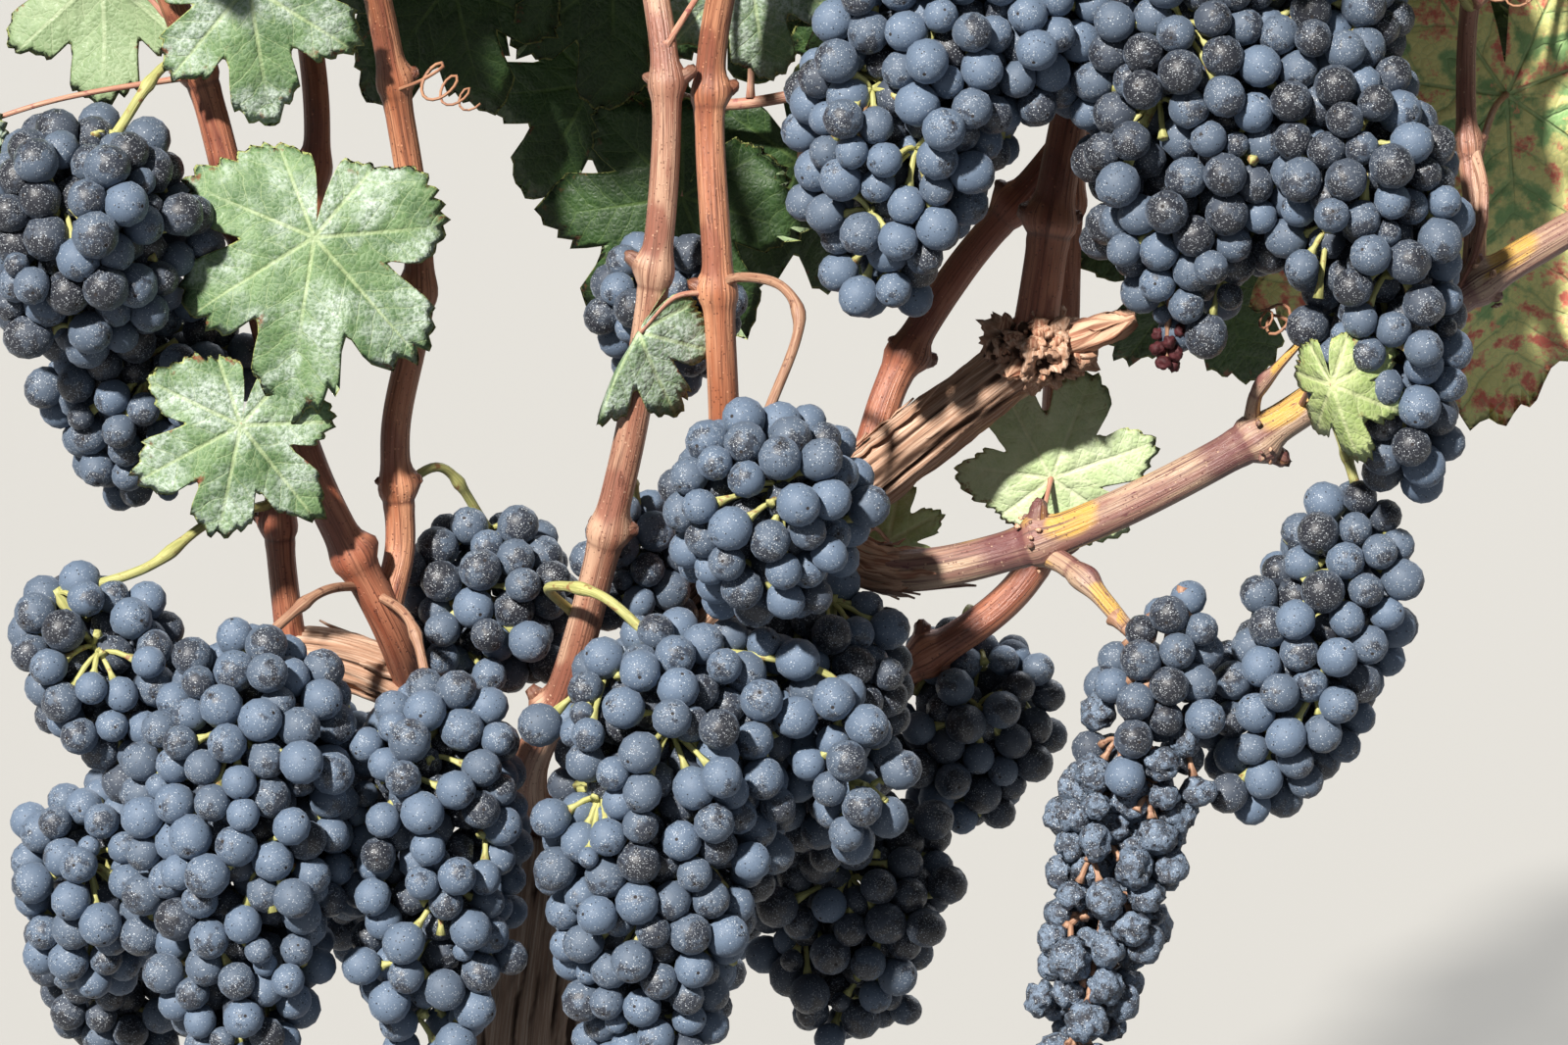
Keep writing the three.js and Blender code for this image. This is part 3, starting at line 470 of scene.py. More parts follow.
def lump(centre, stretch, detail, paint, seed, fineness, roughness=.5):
    """A crumbly ball of old wood."""
    corners, faces = ball_shape(detail)
    grain = corners * stretch
    bumps = np.array([noise.fractal(Vector(place), .7, 2, 5) for place in grain * fineness + seed])
    return part(centre + grain + grain * (roughness * bumps[:, None]), [faces], grain, bumps * 2, paint)


def ragged_edge(turn, waves, seed):
    """How far a torn edge reaches at each angle round a limb."""
    return np.array([noise.noise(Vector((seed, waves * math.cos(t), waves * math.sin(t)))) for t in turn[0]])


def splinters(path, radius, seed, sides=24):
    """The torn end of a stub: a short tube whose end runs out in uneven points."""

    def shape(distance, turn, along):
        hollow = 1 - np.clip((along - .62 - .5 * ragged_edge(turn, 2.2, seed)) / .25, 0, 1) ** 2
        depth = relief(distance, turn, 3, 30, seed)
        return radius * (1 - .2 * along) * np.maximum(hollow, .08) + .12 * radius * depth, depth

    return limb(smooth_line(path), shape, sides, .0016, 1)


def torn_wood_finish():
    """Dead wood without bark: pale orange-brown with dark cracks along it."""
    made = new_finish("torn_wood", Specular_IOR_Level=.25)
    fibres = pattern(layer(made, "grain"), (900, 900, 60), 5)
    colour = mixed(fibres.step(.4, .6), TORN_SHADE, TORN_WOOD)
    return wear(made, colour, fibres.step(0, 1, .7, .85), fibres, .0006)


def knob_parts(head):
    """The knob at the end of the right arm: a lump with crumbs on it, pruned spurs and the torn stub."""
    parts = [lump(head, KNOB_STRETCH * KNOB_RADIUS, 5, 0, 0, 170)]
    for crumb in range(CRUMBS):
        heading = unit(chance.normal(size=3) * (1, .8, 1) - (0, .5, 0))
        size = chance.uniform(*CRUMB_SIZES) * chance.uniform(.7, 1.3, 3)
        parts.append(lump(head + heading * KNOB_STRETCH * KNOB_RADIUS * .96, size, 3, crumb % 2, crumb, 360))
    for spur in range(SPURS):
        heading = np.array((math.cos(spur * 2.4), -abs(math.sin(spur * 1.7)), .5 * math.cos(spur * 3.1)))
        foot = head + heading * KNOB_RADIUS * .6
        end = head + heading * (KNOB_RADIUS * chance.uniform(1, 1.15))
        parts.append(splinters([foot, (foot + end) / 2, end], chance.uniform(*SPUR_RADII), 30 + spur))
    return [*parts, splinters(STUB_PATH, STUB_RADIUS, 20)]


torn_wood = torn_wood_finish()
arm_bark = bark_finish("arm_bark", *ARM_BARK)
arm_lines = {name: smooth_line(spec["path"]) for name, spec in ARMS.items()}
for number, (name, spec) in enumerate(ARMS.items()):
    line, foot = arm_lines[name], spec["radii"][0]
    parts = [limb(line, arm_shape(spec["radii"], 5 + number), ARM_SIDES, ARM_STEP)]
    parts += [loose_strip(line, foot - .001, ARM_STRIP_RANGES, seed) for seed in range(spec["strips"])]
    if name == "right_arm":
        parts += knob_parts(np.array(spec["path"][-1]))
    piece(name + "_bark", parts, [arm_bark, torn_wood], "bark", name)

# The canes: ripened shoots of this year and last, smooth woody rods with fine furrows, thickened at each bud,
# where old leaf stalks and side shoots have dried and broken off short. They grow out of the arms.


@dataclass
class Cane:
    """A cane's line, and what sets it apart."""
    path: list
    radii: tuple  # at the foot and at the tip
    buds: tuple  # the axis that they are measured along, and their places on it
    wood: str
    laterals: tuple = ()  # the path and the radii of each side shoot
    frayed: int = 0  # strips of bark that have come away
    crumbs: int = 0
    dark_below: float = 0
    torn_sleeve: float = 0  # radius of the torn bark round its foot


CANES = {
    "left_outer_cane": Cane(
        [(-.037, .015, .548), (-.044, -.005, .575), (-.069, -.012, .630), (-.092, -.005, .713),
         (-.105, 0, .763), (-.135, -.015, .850)],
        (.0066, .0044), (2, (.600, .655, .713, .763, .812)), "red"),
    "left_rear_cane": Cane(
        [(-.080, .019, .560), (-.083, .015, .611), (-.076, .017, .680), (-.068, .020, .745),
         (-.090, .075, .852)],
        (.005, .004), (2, (.606, .672, .728, .790)), "red"),
    "left_inner_cane": Cane(
        [(-.046, -.006, .580), (-.041, .004, .600), (-.042, .006, .640), (-.033, .004, .690),
         (-.040, .005, .756), (-.056, -.020, .850)],
        (.0052, .0044), (2, (.621, .689, .759, .815)), "tan"),
    "middle_left_cane": Cane(
        [(.006, .034, .488), (.002, .012, .519), (.017, -.010, .559), (.028, -.020, .600),
         (.042, -.025, .664), (.051, -.020, .764), (.032, .030, .850)],
        (.0064, .004), (2, (.545, .611, .700, .762, .812)), "pale"),
    "middle_right_cane": Cane(
        [(.065, .025, .576), (.070, -.010, .604), (.070, -.024, .650), (.068, -.025, .700),
         (.066, -.012, .770), (.084, -.030, .850)],
        (.0054, .0046), (2, (.628, .693, .757, .813)), "tan"),
    "head_cane": Cane(
        [(.174, .005, .668), (.181, .012, .716), (.188, .018, .756), (.192, .005, .800),
         (.200, -.025, .850)],
        (.0074, .005), (2, (.711, .758, .806)), "red"),
    "crossing_cane": Cane(
        [(.117, .016, .622), (.128, .028, .655), (.150, .038, .690), (.182, .044, .728),
         (.215, .062, .770), (.245, .095, .850)],
        (.006, .0044), (2, (.662, .712, .760, .812)), "red"),
    "right_cane": Cane(
        [(.100, .018, .604), (.124, 0, .594), (.174, -.015, .606), (.247, -.025, .644),
         (.321, -.015, .694), (.390, 0, .735), (.455, 0, .800)],
        (.0072, .0048), (0, (.176, .247, .322, .384, .436)), "striped",
        laterals=[([(.177, -.014, .603), (.186, -.026, .600), (.194, -.034, .594), (.204, -.046, .584)],
                    (.0040, .0026)),
                   ([(.246, -.024, .648), (.247, -.030, .660), (.252, -.034, .668), (.262, -.036, .680)],
                    (.0026, .0011))],
        frayed=12, crumbs=36, dark_below=1.1, torn_sleeve=.0088),
    "right_upright_shoot": Cane(
        [(.320, -.015, .694), (.321, -.008, .715), (.319, .005, .745), (.320, .008, .790),
         (.332, -.020, .850)],
        (.0038, .0026), (2, (.738, .790)), "pale",
        laterals=[([(.321, .002, .738), (.3235, -.010, .724), (.320, -.017, .705), (.309, -.022, .684)],
                    (.0019, .0011))]),
    "low_rear_cane": Cane(
        [(.009, .038, .486), (.060, .052, .508), (.125, .058, .540), (.178, .066, .580),
         (.188, .084, .650), (.196, .090, .740), (.262, .108, .850)],
        (.0068, .0044), (0, (.045, .092, .140, .181, .190, .220)), "red"),
}
CANE_WOODS = {  # sunny side, main colour, dark streaks and stains
    "tan": ((.58, .27, .15), (.36, .12, .056), (.11, .03, .016), (.26, .08, .045)),
    "red": ((.46, .18, .1), (.28, .08, .04), (.085, .022, .013), (.19, .05, .028)),
    "pale": ((.56, .34, .23), (.32, .13, .08), (.13, .045, .027), (.28, .1, .065)),
    "striped": ((.5, .34, .23), (.27, .125, .1), (.13, .035, .04), (.64, .37, .06)),
}
CANE_SIDES = 26
CANE_STEP = .0022
BUD_SWELLING = .32
BUD_LENGTH = .0055
BUD_RISE = .42
TINGE_AT = .014  # beyond a bud, where the wood is tinged on its sunny side
TINGE_REACH = .015
TINGE_SIDE = -2.3
DARK_AT = .012  # below a bud, where the wood is darkest
DARK_REACH = .013
STUB_LENGTHS = (.003, .008)
STUB_SHARE = .6  # of the buds that have a second stub behind
CANE_STRIP_RANGES = ((.004, .07), (.016, .036), (.001, .005), (.0008, .002))
CANE_CRUMB_SIZES = (.0005, .0012)


def specks(place, per_metre, share, size):
    """Round specks strewn over a surface: one in each of a share of the cells, up to a size in cells."""
    cells = add(place.tree, "TexVoronoi", {"Vector": place, "Scale": per_metre}, feature="F1")
    chosen = split(Level(cells["Color"]))[0]
    radius = chosen.step(1 - share, 1, 0, size)
    return (Level(cells["Distance"]) - radius).step(0, -.1)


def cane_finish(name, sunny, main, streak, stain):
    """Ripe cane bark: fine furrows along the cane, dark streaks and pits, long stains, and pale pores."""
    made = new_finish(name, Specular_IOR_Level=.6)
    grain, depth = layer(made, "grain"), layer(made, "depth")
    furrows = pattern(grain, (1300, 1300, 28), 5, .6)
    shades = pattern(grain, (150, 150, 14), 3)
    colour = coated(
        main,
        (shades.step(.38, .6), sunny),
        (pattern(grain, (110, 110, 24), 3).step(.58, .68), stain),
        ((depth + shades * .5).step(.05, -.25, 0, .85), stain),
        (furrows.step(.48, .66), times(main, .5)),
        (pattern(grain, (420, 420, 95), 4, .7).step(.6, .72), streak),
        (depth.step(.2, .9, 0, .75), streak),
    )
    pits, pores = specks(grain, 1150, .3, .42), specks(grain, 900, .22, .4)
    colour = coated(
        colour,
        (pits * .75, streak),
        (pores * .55, times(sunny, 1.35)),
    )
    return wear(made, colour, furrows.step(.3, .7, .34, .56), furrows + (pores - pits) * .2, .0007)


def bump(values, middle, width):
    """1 at the middle, and less and less away from it."""
    return np.exp(-(((values - middle) / width) ** 2))


def cane_shape(radii, buds, seed, dark_below=0):
    """Radius of a cane: its taper, furrows, and a swelling and a bud on alternate sides at each joint. The
    depth is above 0 on a joint's scars and, by dark_below, under it, and below 0 where the wood is tinged."""

    def shape(distance, turn, along):
        girth = taper(radii, along) * (1 + .3 * np.exp(-distance / .005))
        knot, scar = np.zeros_like(turn), np.zeros_like(turn)
        for number, at in enumerate(buds):
            from_bud = distance - at
            bud_side = np.clip(np.cos(turn - math.pi * (number + seed)), 0, 1)
            groove = bump(from_bud, -.0046, .0012)
            knot += BUD_SWELLING * bump(from_bud, 0, BUD_LENGTH)
            knot += BUD_RISE * bud_side**4 * bump(from_bud, .0025, .0034) - .1 * groove
            scar += bud_side**2 * bump(from_bud, .002, .003) + .8 * groove
            scar += dark_below * np.clip(1 - np.abs(from_bud + DARK_AT) / DARK_REACH, 0, 1)
            beyond = np.clip(1 - np.abs(from_bud - TINGE_AT) / TINGE_REACH, 0, 1)
            scar -= beyond * np.clip(np.cos(turn - TINGE_SIDE), 0, 1)
        return girth * (1 + knot + .022 * relief(distance, turn, 2.6, 6, seed, 3)), scar

    return shape


def outward_at(line, index, angle):
    """The direction straight out of a limb at an angle round it, and the way that the limb heads there."""
    heading = unit(line[index + 3] - line[index])
    return out_of(heading, angle), heading


def bud_stub(line, at, angle, radius, length, seed):
    """A dried leaf stalk or side shoot, broken off short just above a bud."""
    index = min(int(at * 1000) + 2, len(line) - 4)
    outward, heading = outward_at(line, index, angle)
    foot = line[index] + outward * radius * .7
    end = foot + outward * length + heading * length * .6

    def shape(distance, turn, along):
        broken = np.clip(1 - ((along - .8 - .5 * ragged_edge(turn, 2, seed)) / .2).clip(0, 1), .15, 1)
        wrinkle = relief(distance, turn, 1.5, 160, seed, 2)
        return radius * .42 * (1.15 - .5 * along) * broken * (1 + .16 * wrinkle), .6 + .5 * along

    return limb(smooth_line([foot, (foot + end) / 2 + outward * .0005, end]), shape, 10, .0009)


cane_woods = {name: cane_finish(name + "_cane", *colours) for name, colours in CANE_WOODS.items()}
cane_lines = {name: smooth_line(cane.path) for name, cane in CANES.items()}
for number, (name, cane) in enumerate(CANES.items()):
    line, radii = cane_lines[name], cane.radii
    axis, places = cane.buds
    buds = [np.abs(line[:, axis] - place).argmin() * .001 for place in places]
    shape = cane_shape(radii, buds, number, cane.dark_below)
    parts = [limb(line, shape, CANE_SIDES, CANE_STEP)]
    for bud, at in enumerate(buds):
        girth = np.interp(at, (0, len(line) * .001), radii) * (1 + BUD_SWELLING)
        angle = math.pi * (bud + number)
        parts.append(bud_stub(line, at, angle, girth, chance.uniform(*STUB_LENGTHS), bud + number))
        if chance.random() < STUB_SHARE:
            back = angle + math.pi + chance.uniform(-.5, .5)
            parts.append(bud_stub(line, at, back, .8 * girth, chance.uniform(*STUB_LENGTHS) * .6, bud + 40))
    for path, side_radii in cane.laterals:
        path = smooth_line(path)
        parts.append(limb(path, cane_shape(side_radii, [.45 * .001 * len(path)], number), 14, .0014))
    for strip in range(cane.frayed):
        parts.append(loose_strip(line, radii[0] * chance.uniform(.98, 1.12), CANE_STRIP_RANGES, strip))
        parts[-1]["paint"] = strip % 2
    for crumb in range(cane.crumbs):
        index = int((buds[crumb % 3] + chance.uniform(-.004, .005)) * 1000)
        outward, _ = outward_at(line, index, chance.uniform(0, 2 * math.pi))
        size = chance.uniform(*CANE_CRUMB_SIZES) * chance.uniform(.7, 1.3, 3)
        place = line[index] + outward * radii[0] * (1 + BUD_SWELLING)
        parts.append(lump(place, size, 2, crumb % 2, crumb, 900, .6))
        parts[-1]["depth"] += .7
    if cane.torn_sleeve:
        parts.append(splinters(line[6:58:6], cane.torn_sleeve, 64, 40))
    piece(name + "_wood", parts, [cane_woods[cane.wood], torn_wood], "cane_wood", name)

# The bunches: dark wine grapes, 12 to 16 mm across, packed round a woody green stem that hangs from its cane
# on a stalk. Each grape has its own short stalk, and a waxy bloom that is rubbed off where it stands out.


@dataclass
class Bunch:
    """Where a bunch hangs, and what sets it apart."""
    stems: list  # the top and the tip of each, the bunch's width there, and how much narrower its tip is
    stalk: list
    bloom: tuple  # shares of its grapes with full, dusty and rubbed bloom, the last also as painted shade
    bow: tuple = (0, 0, 0)
    looseness: tuple = (1, 1)  # of the grapes on each stem
    packing: float = .965  # middles of two touching grapes, as a share of their radii together
    size: float = 1
    lost: float = .05  # share of outer grapes that have dropped off their stalks
    brown: bool = False
    stalk_radius: float = .0016
    joins: float = .04  # share of the stem's length at which the stalk meets it


BUNCHES = {
    "front_centre_bunch": Bunch(
        [((.084, -.064, .660), (.084, -.066, .594), .062, .1)],
        [(.068, -.025, .696), (.076, -.034, .700), (.090, -.050, .699), (.095, -.058, .690)],
        (.5, .4, .1), brown=True, looseness=(1.08,)),
    "centre_long_bunch": Bunch(
        [((.050, -.060, .586), (.044, -.062, .425), .066, .3),
         ((.080, -.052, .580), (.084, -.050, .520), .044, .15),
         ((.108, -.058, .568), (.116, -.060, .506), .030, .1)],
        [(.020, -.012, .580), (.011, -.030, .594), (.030, -.052, .596)],
        (.6, .32, .08), looseness=(1, 1.15, 1.35)),
    "left_long_bunch": Bunch(
        [((-.088, -.050, .582), (-.092, -.058, .425), .062, .3)],
        [(-.052, -.008, .590), (-.066, -.030, .592)], (.55, .37, .08), brown=True),
    "inner_left_bunch": Bunch(
        [((-.028, -.040, .562), (-.027, -.046, .432), .054, .3)],
        [(-.050, -.008, .588), (-.036, -.026, .582)], (.6, .32, .08), brown=True),
    "top_centre_bunch": Bunch(
        [((.142, -.034, .812), (.118, -.040, .690), .062, .3),
         ((.166, -.032, .812), (.176, -.032, .756), .052, .15)],
        [(.192, .006, .800), (.172, -.014, .828)], (.62, .33, .05)),
    "top_right_bunch": Bunch(
        [((.226, -.038, .812), (.222, -.045, .680), .066, .3),
         ((.262, -.034, .818), (.258, -.036, .730), .050, .15)],
        [(.192, .005, .800), (.214, -.016, .834)], (.15, .4, .45)),
    "right_long_bunch": Bunch(
        [((.267, -.060, .775), (.296, -.062, .632), .050, .3)],
        [(.320, .008, .784), (.300, -.024, .806), (.284, -.046, .800)], (.2, .5, .3), bow=(.004, 0, 0)),
    "lower_right_bunch": Bunch(
        [((.283, -.038, .628), (.243, -.046, .522), .048, .05)],
        [(.270, -.023, .659), (.276, -.026, .644)], (.5, .4, .1), bow=(.004, 0, -.006)),
    "left_wing_bunch": Bunch(
        [((-.154, -.032, .594), (-.118, -.036, .536), .046, 0)],
        [(-.083, .015, .614), (-.104, -.008, .612), (-.124, -.026, .600)], (.3, .5, .2)),
    "left_top_bunch": Bunch(
        [((-.130, -.030, .748), (-.150, -.030, .678), .066, .15)],
        [(-.105, 0, .763), (-.114, -.012, .768)], (.1, .55, .35), packing=.86, size=1.08),
    "left_second_bunch": Bunch(
        [((-.125, .002, .688), (-.128, .004, .616), .058, .3)],
        [(-.092, -.005, .713), (-.106, -.003, .706)], (.45, .4, .15)),
    "lower_left_bunch": Bunch(
        [((-.134, -.018, .522), (-.150, -.022, .452), .056, .2)],
        [(-.082, .020, .560), (-.104, .004, .552)], (.7, .25, .05)),
    "rear_left_bunch": Bunch(
        [((-.012, .034, .602), (-.014, .026, .545), .056, .1)],
        [(-.042, .006, .620), (-.028, .016, .626)], (.2, .4, .4)),
    "small_centre_bunch": Bunch(
        [((.040, .010, .612), (.039, .008, .572), .036, .1)],
        [(.033, -.022, .624), (.038, -.006, .626)], (.3, .4, .3)),
    "upper_centre_bunch": Bunch(
        [((.044, .014, .700), (.058, .020, .656), .044, .1)],
        [(.047, -.024, .708), (.046, -.008, .714)], (.35, .4, .25)),
    # The right centre, right rear, low right rear and dark left bunches take mostly rubbed bloom: painted
    # shade, as they hang in shadow.
    "right_centre_bunch": Bunch(
        [((.106, -.022, .590), (.100, -.014, .496), .050, .3)],
        [(.112, .010, .600), (.112, -.006, .602)], (.05, .25, .7)),
    "right_rear_bunch": Bunch(
        [((.160, .076, .552), (.150, .076, .478), .050, .3)],
        [(.152, .060, .556), (.156, .070, .564)], (.1, .3, .6)),
    "low_right_rear_bunch": Bunch(
        [((.112, .034, .506), (.112, .036, .412), .058, .3)],
        [(.110, .057, .533), (.110, .048, .520)], (.05, .25, .7)),
    "dark_left_bunch": Bunch(
        [((-.136, .042, .488), (-.146, .036, .404), .054, .3)],
        [(-.084, .022, .560), (-.112, .036, .520)], (.1, .3, .6)),
    "rear_left_low_bunch": Bunch(
        [((-.062, .046, .528), (-.058, .048, .440), .054, .3)],
        [(-.064, .018, .558), (-.066, .038, .546)], (.3, .4, .3)),
    "rear_middle_low_bunch": Bunch(
        [((.056, .084, .494), (.052, .084, .418), .050, .3)],
        [(.062, .053, .509), (.060, .074, .508)], (.3, .4, .3)),
    "shrivelled_bunch": Bunch(
        [((.222, -.055, .600), (.186, -.070, .430), .038, .12)],
        [(.200, -.042, .587), (.206, -.048, .582)], (.15, .45, .4), bow=(-.006, 0, 0),
        stalk_radius=.0026, joins=.17, brown=True, lost=.1, size=.96),
}
BERRY_RADIUS = .0070
BERRY_SIZES = (.79, 1.06)
RUNT_SHARE = .05  # share of grapes that stayed small
RUNT_SIZE = .62
BERRY_GAP = .0124  # between the middles of two grapes of one layer
LAYER_DEPTH = .0110
LAYERS = 2
LEAST_LAYER_RADIUS = .25 * BERRY_RADIUS
SKIN_REACH = .0042  # how far grapes stand out of the egg that the frame gives a bunch
LUMPS = .16  # unevenness of a bunch's outline, as a share of its radius
STRAY_SHARE = .07  # share of outer grapes that stand out on longer stalks
STRAY_REACH = .0045
EGG_BLUNTNESS = 2.6
WOOD_TOP = .85  # no grape touches wood that is higher
GOLDEN_ANGLE = math.pi * (3 - math.sqrt(5))
SETTLING_STEPS = 96
SINK_BACK = .035  # share of its way home that a grape goes back in one step
WOOD_PACKING = .98  # how close a grape gets to wood, as a share of its radius
BLOCK = 250  # rows of a large table that are worked out at a time
SCAR_ANGLE = .085
INSIDE_SHADED = .88  # share of the grapes inside a bunch painted in the dark rubbed bloom, as painted shade
STEM_RADII = (.0016, .0009)
BRANCH_SPACING = .008
BRANCH_REACH = .66  # of the bunch's radius there
BLOOM_COLOURS = {  # bloom, bare skin, and how much skin shows
    "full_bloom": ((.128, .175, .25), (.034, .04, .056), .2),
    "dusty_bloom": ((.1, .133, .186), (.026, .028, .038), .42),
    # the rubbed bloom is real wear on some grapes, and painted shade inside bunches and on bunches in shadow
    "rubbed_and_shaded_bloom": ((.056, .07, .097), (.016, .016, .021), .66),
}
SHEEN_COLOUR = (.55, .68, .9)
DUST_COLOUR = (.66, .7, .74)
PIT_COLOUR = (.008, .009, .013)
SCAR_COLOUR = (.035, .03, .03)
STEM_COLOURS = {
    "green_stem": ((.49, .47, .18), (.32, .32, .11), (.26, .13, .055)),
    "brown_stem": ((.42, .25, .16), (.27, .13, .08), (.11, .045, .03)),
}


def stem_line(top, tip, bow):
    """The main stem of a bunch, as the frame bends it."""
    share = np.linspace(0, 1, 41)[:, None]
    top, tip = np.array(top), np.array(tip)
    middle = (top + tip) / 2 + np.array(bow)
    return evenly((1 - share) ** 2 * top + 2 * share * (1 - share) * middle + share**2 * tip, .001)


def egg_radius(share, width, narrow):
    across = 2 * share - 1
    roundness = np.sqrt(np.clip(1 - np.abs(across) ** EGG_BLUNTNESS, 0, 1))
    return width / 2 * (1 - narrow * across) * roundness


def grape_places(line, width, narrow, gap, rng):
    """Middles of grapes in layers from the skin of the egg inwards, each with the layer it is in."""
    length = (len(line) - 1) * .001
    heading = headings(line)
    swirl = rng.uniform(0, 50)
    places, layers = [], []
    for depth in range(LAYERS):
        inset = BERRY_RADIUS - SKIN_REACH + depth * LAYER_DEPTH
        if width / 2 - inset <= LEAST_LAYER_RADIUS:
            break
        share = np.linspace(0, 1, 61)
        radius = np.clip(egg_radius(share, width, narrow) - inset, .0005, None)
        height = inset + share * (length - 2 * inset)
        slant = np.hypot(np.diff(radius), np.diff(height))
        area = np.r_[0, np.cumsum(math.pi * (radius[1:] + radius[:-1]) * slant)]
        count = max(1, round(area[-1] / (.87 * gap**2)))
        wanted = (np.arange(count) + .5) / count * area[-1]
        at_height = np.interp(wanted, area, height) + rng.uniform(-.0015, .0015, count)
        at_radius = np.interp(wanted, area, radius)
        turn = np.arange(count) * GOLDEN_ANGLE + rng.uniform(0, 6) + rng.uniform(-.4, .4, count)
        index = np.clip((at_height * 1000).astype(int), 0, len(line) - 1)
        outward = out_of(heading[index], turn)
        spots = zip(outward * 1.3, at_height / .03)
        lumps = [noise.noise(Vector((x + swirl, y, z + h))) for (x, y, z), h in spots]
        at_radius = at_radius * (1 + LUMPS * np.array(lumps))
        stray = (rng.random(count) < STRAY_SHARE) * (depth == 0)
        at_radius = at_radius + rng.uniform(-.0022, .0012, count) * (depth == 0) + STRAY_REACH * stray
        places.append(line[index] + outward * at_radius[:, None] + heading[index] * (.003 * stray)[:, None])
        layers.append(np.full(count, depth))
    return np.concatenate(places), np.concatenate(layers)


def side_branches(line, width, narrow, rng):
    """The branches of a bunch's stem, each as the points from its foot to its tip."""
    heading = headings(line)
    length = (len(line) - 1) * .001
    share = np.linspace(0, 1, 6)[:, None]
    branches = []
    for number in range(int(.88 * length / BRANCH_SPACING)):
        at = .04 * length + number * BRANCH_SPACING
        index = int(at * 1000)
        turn = number * GOLDEN_ANGLE + rng.uniform(-.4, .4)
        outward = out_of(heading[index], turn)
        reach = BRANCH_REACH * egg_radius(min(1, at / length + .06), width, narrow) * rng.uniform(.8, 1.1)
        branches.append(line[index] + outward * reach * share + heading[index] * .007 * share**2)
    return branches


def near_pairs(places):
    """The pairs of grapes that may come to touch each other, a block of grapes at a time."""
    pairs = []
    for first in range(0, len(places), BLOCK):
        gaps = places[first : first + BLOCK, None] - places[None]
        rows, columns = np.nonzero(np.linalg.norm(gaps, axis=2) < 3 * BERRY_RADIUS)
        keep = columns > rows + first
        pairs.append(np.stack([rows[keep] + first, columns[keep]], axis=1))
    return np.concatenate(pairs).T


def settle(places, radii, packing, wood, wood_radii):
    """Pushes grapes apart where they press on each other or on the wood, and lets them sink back."""
    home, rows = places.copy(), np.arange(len(places))
    for step in range(SETTLING_STEPS):
        if step % 8 == 0:
            one, two = near_pairs(places)
        apart = places[two] - places[one]
        distance = np.linalg.norm(apart, axis=1) + 1e-9
        push = np.clip((radii[one] + radii[two]) * np.minimum(packing[one], packing[two]) - distance, 0, None)
        move = apart / distance[:, None] * (push / 2)[:, None]
        np.add.at(places, one, -move)
        np.add.at(places, two, move)
        places += (home - places) * SINK_BACK
        for first in range(0, len(wood), BLOCK):
            away = places[:, None] - wood[None, first : first + BLOCK]
            far = np.linalg.norm(away, axis=2)
            sunk = radii[:, None] * WOOD_PACKING + wood_radii[None, first : first + BLOCK] - far
            worst = sunk.argmax(axis=1)
            amount = np.clip(sunk[rows, worst], 0, None)
            places += away[rows, worst] / far[rows, worst][:, None] * amount[:, None]
    return places


def turned_to(direction, turn):
    """Rotation that takes -Z to a direction, after a turn round it."""
    side = unit(np.cross(-direction, (.3, .5, .81)))
    across = math.cos(turn) * side + math.sin(turn) * np.cross(-direction, side)
    return np.stack([across, np.cross(-direction, across), -direction])


def grape_shape(sides, rings):
    """A ball in rings from its stalk, at the top, to the ring round the small scar at its lowest point."""
    polar = np.linspace(0, math.pi - SCAR_ANGLE, rings)[1:, None]
    turn = np.arange(sides) / sides * 2 * math.pi
    round_it = (np.sin(polar) * np.cos(turn), np.sin(polar) * np.sin(turn), np.cos(polar))
    corners = np.stack(np.broadcast_arrays(*round_it), axis=-1).reshape(-1, 3)
    corners = np.vstack([corners, (0, 0, .99), (0, 0, -.95)])
    walls = bands(rings - 1, sides, 0, True)
    top, scar = fan(len(corners) - 2, 0, sides), fan(len(corners) - 1, (rings - 2) * sides, sides, True)
    return corners, [walls, top, scar], np.repeat((False, True), (len(walls) + sides, sides))


def bloom_finish(name, bloom, skin, bare):
    """Grape skin: matte blue bloom, rubbed thin where the grape stands out, with dark pits and pale dust."""
    made = new_finish(name, Specular_IOR_Level=.4, Sheen_Weight=.16, Sheen_Roughness=.4,
                      Sheen_Tint=(*SHEEN_COLOUR, 1))
    place = place_in(made)
    rubbed, own, _ = split(layer(made, "grain"))
    fine = pattern(place, 1500, 3, .7)
    loss = pattern(place, 230, 4, .6) * .9 + rubbed * .3 + own * .25
    threshold = 1 - .5 * bare
    worn = loss.step(threshold - .06, threshold + .08)
    touched = loss.step(threshold - .26, threshold)
    tone = mixed(own, bloom, times(bloom, .8))
    tone = mixed(fine.step(.35, .65, 0, .4), tone, times(bloom, .65))
    colour = coated(
        tone,
        (worn * .85, skin),
        (specks(place, 1500, worn * .7 + .1, .5), PIT_COLOUR),
    )
    strewn = pattern(place, 140, 4, .65).step(.3, .6, .4, 1) * touched.step(0, 1, .22, 1)
    colour = coated(
        colour,
        (specks(place, 2100, strewn, .5) * .42, DUST_COLOUR),
        (specks(place, 1300, strewn * .36, .34) * .8, DUST_COLOUR),
    )
    return wear(made, colour, worn.step(0, 1, .6, .42), fine, .00012)


def plain_finish(name, colour, roughness):
    """A small part of one colour, clouded a little."""
    made = new_finish(name, Specular_IOR_Level=.3)
    clouds = pattern(place_in(made), 700, 4)
    shade = mixed(clouds.step(.35, .7), colour, times(colour, .5))
    return wear(made, shade, clouds.step(0, 1, roughness, roughness + .1), clouds, .0003)


